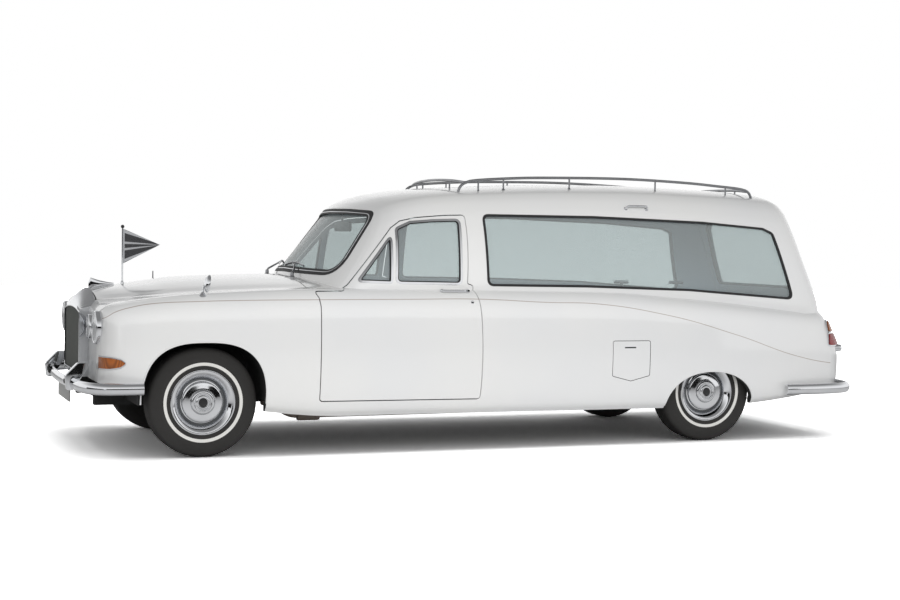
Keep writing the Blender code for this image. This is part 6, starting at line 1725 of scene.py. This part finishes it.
@dataclass
class Underside:
    """The dark liners in the wheel openings, the painted beads round them, and the exhaust."""

    skin: Skin
    lines: Outlines
    wall: float = 0.004
    inner_y: Pair = (0.44, 0.61)
    outer_y: float = 0.9
    room: Pair = (0.018, 0.003)
    rear_radius: float = 0.375
    bead: float = 0.0055
    pipe: Rows = (
        (-1.54, -0.48, 0.3), (-1.47, -0.52, 0.276), (-1.41, -0.59, 0.24), (-1.35, -0.62, 0.228),
        (-1.2, -0.62, 0.228), (0.0, -0.62, 0.234), (1.02, -0.62, 0.234),
    )
    # along, radius
    silencer: Pair = (-1.35, 0.034)
    silencer_yz: Pair = (-0.62, 0.226)
    # share of the silencer's radius, place along it
    drum: Rows = (
        (0.55, 0.0), (0.9, 0.004), (1.0, 0.014), (1.0, 0.141), (0.9, 0.151), (0.55, 0.155), (0.5, 0.15), (0.5, 0.005),
    )

    def liner(self, end: int, side: Side) -> None:
        """Half a drum above the tyre, closed at its inner side."""
        arch = self.lines.arches(self.room[end])[end]
        if end:
            turns = np.linspace(0, math.pi, 49)
            drum = self.rear_radius * np.stack((-np.cos(turns), np.sin(turns)), axis=1)
            arch = drum + (REAR_AXLE_X, WHEEL_Z)
        arch = arch[arch[:, 1] >= 0.24]
        outer = grown(arch, self.wall)
        near, far = self.inner_y[end], self.outer_y
        rows = []
        for outline, y in ((arch, far), (outer, far), (outer, near), (arch, near + self.wall)):
            y = np.full(len(outline), side.value * y)
            rows.append(np.stack((outline[:, 0], y, outline[:, 1]), axis=-1))
        middle = np.repeat(rows[2].mean(axis=0)[None], len(arch), axis=0)
        disc = [middle, middle + (0, side.value * self.wall, 0)]
        table = np.stack((rows[0], rows[1], rows[2], disc[0], disc[1], rows[3]))
        shape = Shape().grid(table, wrap_rows=True)
        for column in (table[:, 0], table[:, -1]):
            shape.cap(column)
        name = f"arch_liner_{('front', 'rear')[end]}_{side.word}"
        fit(shape.piece(name, UNDERSEAL), "body", "chassis")

    def lip(self, end: int, side: Side) -> None:
        """The rolled edge of a wheel opening: a fine bead that follows the skin."""
        arch = self.lines.arches(0.001)[end]
        arch = arch[arch[:, 1] >= 0.262]
        y = np.array([self.skin.side_y(x, z) for x, z in arch]) - 0.0025
        path = np.column_stack((arch[:, 0], side.value * y, arch[:, 1]))
        shape = Shape().tube(path, self.bead, (0, side.value, 0), 12)
        fit(shape.piece(f"arch_bead_{('front', 'rear')[end]}_{side.word}", PAINT), "body", "paint")

    def exhaust(self) -> None:
        """The pipe and its small silencer."""
        low, radius = self.silencer
        shape = Shape().tube(curve_through(np.array(self.pipe), 6), 0.019, sides=18)
        shape.lathe(np.array(self.drum) * (radius, 1), (low, *self.silencer_yz), "X", 1, 32, ring=True)
        fit(shape.piece("exhaust_pipe", SILENCER), "body", "chassis", "exhaust")

    def build(self) -> None:
        """Makes the pieces under the body."""
        for side in Side:
            for end in (0, 1):
                self.liner(end, side)
                self.lip(end, side)
        self.exhaust()


@dataclass
class Cabin:
    """The front bench, the steering wheel, the fascia and the interior mirror."""

    wheel_centre: Point = (-0.9, -0.4, 0.9)
    wheel_tilt: float = 26.0
    wheel_radius: float = 0.185
    hub: Rows = (
        (0, -0.02), (0.02, -0.02), (0.036, -0.01), (0.04, 0.0), (0.038, 0.01), (0.03, 0.018), (0.014, 0.022),
        (0, 0.0225),
    )
    column: Rows = ((0, -0.235), (0.022, -0.235), (0.024, -0.04), (0.018, -0.036), (0, -0.036))
    bezel: Rows = ((0.04, -0.002), (0.048, -0.002), (0.049, 0.006), (0.045, 0.01), (0.041, 0.008), (0.04, 0.003))
    dial: Rows = ((0, -0.002), (0.0405, -0.002), (0.0405, 0.003), (0, 0.003))
    # along, height
    cushion: Rows = ((-1.0, 0.48), (-0.53, 0.47), (-0.53, 0.575), (-0.985, 0.59))
    squab: Rows = ((-0.492, 0.65), (-0.385, 1.08), (-0.35, 1.08), (-0.425, 0.64))
    base: Rows = ((-1.0, 0.2885), (-0.512, 0.2885), (-0.512, 0.47), (-0.99, 0.482))
    board: Rows = ((-0.415, 0.2885), (-0.362, 0.2885), (-0.302, 1.092), (-0.34, 1.092))
    fascia: Rows = ((-1.1, 0.74), (-1.1, 0.9), (-1.155, 0.975), (-1.29, 0.975), (-1.225, 0.76))
    # across, height
    mirror_head: Rows = (
        (-0.165, 1.428), (0.165, 1.428), (0.175, 1.462), (0.165, 1.496), (-0.165, 1.496), (-0.175, 1.462),
    )
    glove_box: Rows = ((0.2, 0.765), (0.62, 0.765), (0.62, 0.885), (0.2, 0.885))
    half_width: float = 0.69

    def pad(self, name: str, outline: Rows, node: str, cap: float) -> None:
        """A stuffed pad: its slim form is remeshed, blown up a little as cloth, and held within a cap.

        Args:
            name: the piece's name.
            outline: its side view before it swells, along and height.
            node: the solid that it stands for.
            cap: how far a point may move.
        """
        shape = Shape().prism(rounded(np.array(outline), 0.03, 4), -self.half_width, self.half_width)
        piece = bevelled(shape.piece(name, LEATHER, angle=180), 0.018, 3)
        mesher = piece.modifiers.new("even", "REMESH")
        mesher.mode, mesher.voxel_size = "VOXEL", 0.012
        settle(piece)
        start = np.empty(len(piece.data.vertices) * 3)
        piece.data.vertices.foreach_get("co", start)
        cloth = piece.modifiers.new("stuffing", "CLOTH")
        cloth.settings.use_pressure = True
        cloth.settings.uniform_pressure_force = 4.0
        cloth.settings.effector_weights.gravity = 0.0
        cloth.point_cache.frame_start, cloth.point_cache.frame_end = 1, 20
        for number in range(1, 21):
            bpy.context.scene.frame_set(number)
        settle(piece)
        bpy.context.scene.frame_set(1)
        swollen = np.empty(len(start))
        piece.data.vertices.foreach_get("co", swollen)
        move = (swollen - start).reshape(-1, 3)
        length = np.maximum(np.linalg.norm(move, axis=1, keepdims=True), 1e-9)
        piece.data.vertices.foreach_set("co", (start.reshape(-1, 3) + move * np.minimum(1, cap / length)).ravel())
        finer = piece.modifiers.new("finer", "SUBSURF")
        finer.levels = finer.render_levels = 1
        settle(piece)
        shade(piece.data, 180)
        fit(piece, "body", "leather", node)

    def seats(self) -> None:
        """The bench and its squab on their boards."""
        for name, outline in (("bench_base", self.base), ("squab_board", self.board)):
            shape = Shape().prism(np.array(outline), -self.half_width, self.half_width)
            fit(bevelled(shape.piece(name, TRIM), 0.008, 2), "body", "trim")
        self.pad("bench_cushion", self.cushion, "seat_cushion", 0.022)
        self.pad("bench_squab", self.squab, "seat_back", 0.022)

    def steering(self) -> None:
        """A thin two-spoked wheel on its column."""
        x, y, z = self.wheel_centre
        turns = np.linspace(0, 2 * math.pi, 72, endpoint=False)
        radius = self.wheel_radius
        rim = np.column_stack((np.full(72, x), y + radius * np.cos(turns), z + radius * np.sin(turns)))
        shape = Shape().tube(rim, 0.0105, (1, 0, 0), 14, True)
        shape.lathe(self.hub, (x - 0.02, y, z), "X", 1, 40)
        shape.lathe(self.column, (x, y, z), "X", 1, 28)
        for angle in (math.radians(200), math.radians(340)):
            out = np.array((0.0, math.cos(angle), math.sin(angle)))
            share = np.linspace(0.1, 0.985, 9)[:, None]
            path = np.array((x, y, z)) + out * share * self.wheel_radius + (-0.018, 0, 0) * (1 - share)
            flat = np.array(((-0.35, -1), (0.35, -1), (0.35, 1), (-0.35, 1))) * 0.008
            shape.sweep(path, flat, tuple(np.cross(out, (1.0, 0, 0))), scale=np.linspace(1.2, 0.8, 9))
        tilted(shape, self.wheel_tilt, self.wheel_centre)
        fit(shape.piece("steering_rim", BLACK), "body", "black", "steering_wheel")

    def dash(self) -> None:
        """The veneered fascia with two dials ahead of the driver and a glove box line."""
        outline = rounded(np.array(self.fascia), 0.02, 4)
        panel = bevelled(Shape().prism(outline, -0.775, 0.775).piece("fascia", WALNUT), 0.006, 2)
        lid = rounded(np.array(self.glove_box), 0.02, 4)
        groove, core = (
            Shape().prism(grown(lid, grow), low, high, "X").piece(name, WALNUT)
            for name, grow, low, high in (("groove", 0, -1.103, -1.098), ("core", -0.003, -1.105, -1.096))
        )
        cut(panel, [cut(groove, [core])])
        shade(panel.data)
        fit(panel, "body", "trim", "dashboard")
        for number, y in enumerate((-0.52, -0.28), 1):
            centre = (-1.1, y, 0.825)
            rim = Shape().lathe(self.bezel, centre, "X", 1, 40, ring=True)
            fit(rim.piece(f"dial_rim_{number}", CHROME), "body", "chrome")
            face = Shape().lathe(self.dial, centre, "X", 1, 40)
            fit(face.piece(f"dial_face_{number}", BLACK), "body", "black")

    def mirror(self) -> None:
        """The interior mirror on a short stem from the header."""
        shape = Shape().prism(rounded(np.array(self.mirror_head), 0.02, 4), -0.872, -0.85, "X")
        stem = np.array(((-0.862, 0.0, 1.48), (-0.866, 0.0, 1.52), (-0.85, 0.0, 1.57), (-0.8, 0.0, 1.65)))
        shape.tube(curve_through(stem, 4), 0.007, (0, 1, 0))
        fit(bevelled(shape.piece("interior_mirror", BLACK), 0.004, 2), "body", "black")

    def build(self) -> None:
        """Makes what is inside the cabin."""
        self.seats()
        self.steering()
        self.dash()
        self.mirror()


@dataclass
class LoadBay:
    """The deck of the load bay on its legs, grooved like boards, with two bier pins."""

    front_x: float = -0.29
    rear_x: float = 2.16
    half_width: float = 0.79
    top: float = 1.0
    thick: float = 0.035
    boards: int = 9
    groove: float = 0.003
    legs: Rows = ((-0.27, 0.2885), (0.95, 0.53), (2.02, 0.53))
    pins: tuple[float, ...] = (1.309, 1.769)
    pin: Rows = (
        (0, -0.004), (0.026, -0.004), (0.026, 0.003), (0.018, 0.007), (0.0125, 0.012), (0.011, 0.03), (0.011, 0.088),
        (0, 0.09),
    )

    def build(self) -> None:
        """Makes the deck and its pins."""
        width = 2 * self.half_width / self.boards
        across = []
        for number in range(self.boards):
            left = -self.half_width + number * width
            if number:
                for shift in (-self.groove, 0, self.groove):
                    across.append((left + shift, self.top - (0 if shift else self.groove)))
        outline = [(-self.half_width, self.top - self.thick), (-self.half_width, self.top)] + across
        outline += [(self.half_width, self.top), (self.half_width, self.top - self.thick)]
        shape = Shape().prism(np.array(outline), self.front_x, self.rear_x, "X")
        under = self.top - self.thick / 2
        for x, foot in self.legs:
            shape.box((x, -0.54, foot), (x + 0.03, 0.54, under))
        fit(shape.piece("deck_boards", DECK, angle=20), "body", "deck", "deck")
        for number, x in enumerate(self.pins, 1):
            pin = Shape().lathe(self.pin, (x, 0, self.top), "Z", segments=28)
            bar = np.column_stack((np.linspace(x - 0.05, x + 0.05, 9), np.zeros(9), np.full(9, self.top + 0.089)))
            fit(pin.tube(bar, 0.0125, sides=18).piece(f"bier_pin_{number}", CHROME), "body", "chrome")


NODE_FINISHES = {
    PAINT: ("bonnet", "door_", "flap_", "nose", "quarter_left", "quarter_right", "roof", "tail_panel", "tailgate",
            "wing_"),
    CHROME: ("front_bumper", "rear_bumper", "grille_shell", "ornament", "mirror_", "wheel_", "flag_mast"),
    STEEL: ("roof_rail",),
    GLASS: ("door_glass_", "quarter_light_", "side_glass_", "tailgate_glass", "windscreen"),
    SLATS: ("grille",),
    TREAD: ("tyre_",),
    UNDERSEAL: ("crossmember", "engine", "exhaust", "floor", "knuckle_", "rear_axle", "steering_wheel"),
    TRIM: ("dashboard",),
    LEATHER: ("seat_back", "seat_cushion"),
    DECK: ("deck",),
    FLAG: ("pennant",),
    AMBER: ("indicator_",),
    RED: ("tail_lamp_",),
    HEADLAMP: ("headlamp_", "driving_lamp_"),
}


def dress_nodes() -> None:
    """Gives each solid of the frame its finish. The longest beginning of a name that is listed decides."""
    beginnings = {start: finish for finish, starts in NODE_FINISHES.items() for start in starts}
    for name, node in frame["nodes"].items():
        start = max((s for s in beginnings if name.startswith(s)), key=len)
        node.data.materials.clear()
        node.data.materials.append(beginnings[start].material())


@dataclass
class Studio:
    """The camera at the photograph's place, the white floor and the soft light."""

    eye: Point = (-4.15484, -10.64178, 1.40206)
    yaw: float = 21.07214
    pitch: float = -2.25865
    roll: float = 0.97801
    lens: float = 63.954
    sensor: float = 36.0
    floor_size: float = 60.0
    floor_bounce: float = 0.7
    floor_seen: float = 2.25
    sky_light: Pair = (0.74, 0.36)
    # heights at which the mirrored sky starts and ends to dim, and its light at both
    ceiling: tuple[float, float, float, float] = (0.3, 0.75, 1.0, 0.25)
    # from and to in plan, low and high
    cards: Rows = (
        (-14.0, -16.0, 12.0, -16.0, 0.0, 3.0), (-16.0, -14.0, -16.0, 6.0, 0.0, 2.6),
    )

    def build(self) -> None:
        """Makes the camera, floor, sky and lamps."""
        self.camera()
        self.floor()
        self.flags()
        self.sky()
        self.lamps()

    def camera(self) -> None:
        """Sets the camera by its yaw from the car's right, its pitch and its roll, in degrees."""
        yaw, pitch, roll = (math.radians(a) for a in (self.yaw, self.pitch, self.roll))
        ahead = Vector((math.sin(yaw) * math.cos(pitch), math.cos(yaw) * math.cos(pitch), math.sin(pitch)))
        right = Vector((math.cos(yaw), -math.sin(yaw), 0))
        up = right.cross(ahead)
        turned_right = math.cos(roll) * right + math.sin(roll) * up
        turned_up = math.cos(roll) * up - math.sin(roll) * right
        data = bpy.data.cameras.new("camera")
        data.lens = self.lens
        data.sensor_width = self.sensor
        camera = bpy.data.objects.new("camera", data)
        turn = Matrix((turned_right, turned_up, -ahead)).transposed().to_4x4()
        camera.matrix_world = Matrix.Translation(Vector(self.eye)) @ turn
        bpy.context.scene.collection.objects.link(camera)
        bpy.context.scene.camera = camera

    def floor(self) -> None:
        """A white floor. The eye sees its lit colour raised past white, so only the car's shadow stays on it."""
        half = self.floor_size / 2
        corners = [(-half, -half, 0), (half, -half, 0), (half, half, 0), (-half, half, 0)]
        tree = Tree("studio_floor")
        eye = tree.ray("Camera") + tree.ray("Transmission")
        distance = tree.axes()[1].ramp(2.0, 14.0)
        tone = self.floor_bounce + (self.floor_seen * (1.0 + 4.0 * distance) - self.floor_bounce) * eye
        colour = tree.node("ShaderNodeCombineColor", inputs={0: tone, 1: tone, 2: tone})
        self.card("floor_stage", corners, tree.show(tree.node("ShaderNodeBsdfDiffuse", inputs={"Color": colour})))

    def card(self, name: str, corners: list[Point], material: bpy.types.Material) -> Piece:
        """A flat card of the studio, kept out of the part."""
        mesh = bpy.data.meshes.new(name)
        mesh.from_pydata(corners, [], [(0, 1, 2, 3)])
        mesh.materials.append(material)
        piece = bpy.data.objects.new(name, mesh)
        bpy.context.scene.collection.objects.link(piece)
        return piece

    def flags(self) -> None:
        """Dark cards behind and beside the eye, for the chrome to mirror."""
        tree = Tree("dark_card")
        dark = tree.show(tree.node("ShaderNodeBsdfDiffuse", inputs={"Color": (0.02, 0.02, 0.02)}))
        for number, (ax, ay, bx, by, low, high) in enumerate(self.cards, 1):
            corners = [(ax, ay, low), (bx, by, low), (bx, by, high), (ax, ay, high)]
            card = self.card(f"card_{number}_stage", corners, dark)
            card.visible_camera = card.visible_diffuse = card.visible_transmission = card.visible_shadow = False

    def sky(self) -> None:
        """A white world for the eye, for mirrors and through glass, and a softer one that lights the car."""
        tree = Tree("studio", world=True)
        place = tree.node("ShaderNodeTexCoord", out="Generated")
        height = tree.node("ShaderNodeSeparateXYZ", inputs={0: place}, out="Z")
        light = dict(zip(("To Min", "To Max"), self.sky_light))
        lit = tree.node("ShaderNodeMapRange", inputs={"Value": height, **light})
        ceiling = dict(zip(("From Min", "From Max", "To Min", "To Max"), self.ceiling))
        mirrored_sky = tree.node("ShaderNodeMapRange", inputs={"Value": height, **ceiling})
        eye, glossy, through = tree.ray("Camera"), tree.ray("Glossy"), tree.ray("Transmission")
        seen = tree.node("ShaderNodeMix", inputs={0: glossy, 2: 1.0, 3: mirrored_sky})
        either = eye.larger(glossy).larger(through)
        soft = tree.node("ShaderNodeBackground", inputs={"Strength": lit})
        white = tree.node("ShaderNodeBackground", inputs={"Color": (1.0, 1.0, 1.0), "Strength": seen})
        bpy.context.scene.world = tree.show(tree.node("ShaderNodeMixShader", inputs={0: either, 1: soft, 2: white}))

    def lamps(self) -> None:
        """Broad soft boxes: one overhead for the floor alone, and one at the near side for the car alone."""
        rows = (
            ("overhead", (0.0, -0.5, 5.5), (0.0, 0.0, 0.0), (9.0, 4.5), 320.0),
            ("near_side", (-1.0, -8.0, 3.2), (0.0, 0.0, 0.9), (8.0, 2.5), 355.0),
        )
        for name, place, target, size, power in rows:
            data = bpy.data.lights.new(name, "AREA")
            data.shape = "RECTANGLE"
            data.size, data.size_y = size
            data.energy = power
            lamp = bpy.data.objects.new(name, data)
            lamp.location = place
            lamp.visible_glossy = False
            group = bpy.data.collections.new(name + "_lights")
            group.objects.link(bpy.data.objects["floor_stage"])
            group.collection_objects[0].light_linking.link_state = "INCLUDE" if name == "overhead" else "EXCLUDE"
            lamp.light_linking.receiver_collection = group
            lamp.rotation_mode = "QUATERNION"
            lamp.rotation_quaternion = (Vector(target) - Vector(place)).to_track_quat("-Z", "Y")
            bpy.context.scene.collection.objects.link(lamp)


def main() -> None:
    """Builds the studio and every sub-assembly in order."""
    logging.basicConfig(level=logging.INFO, format="%(name)s: %(message)s")
    bpy.context.scene.view_settings.view_transform = "Standard"
    dress_nodes()
    skin = Skin()
    Coachwork(skin, Outlines()).build()
    for end in ("front", "rear"):
        for side in Side:
            Wheel(end, side).build()
    Nose(skin).build()
    for bumper in bumpers():
        bumper.build()
    RoofRail().build()
    Fittings(skin).build()
    Underside(skin, Outlines()).build()
    LoadBay().build()
    Cabin().build()
    Studio().build()


if __name__ == "__main__":
    main()
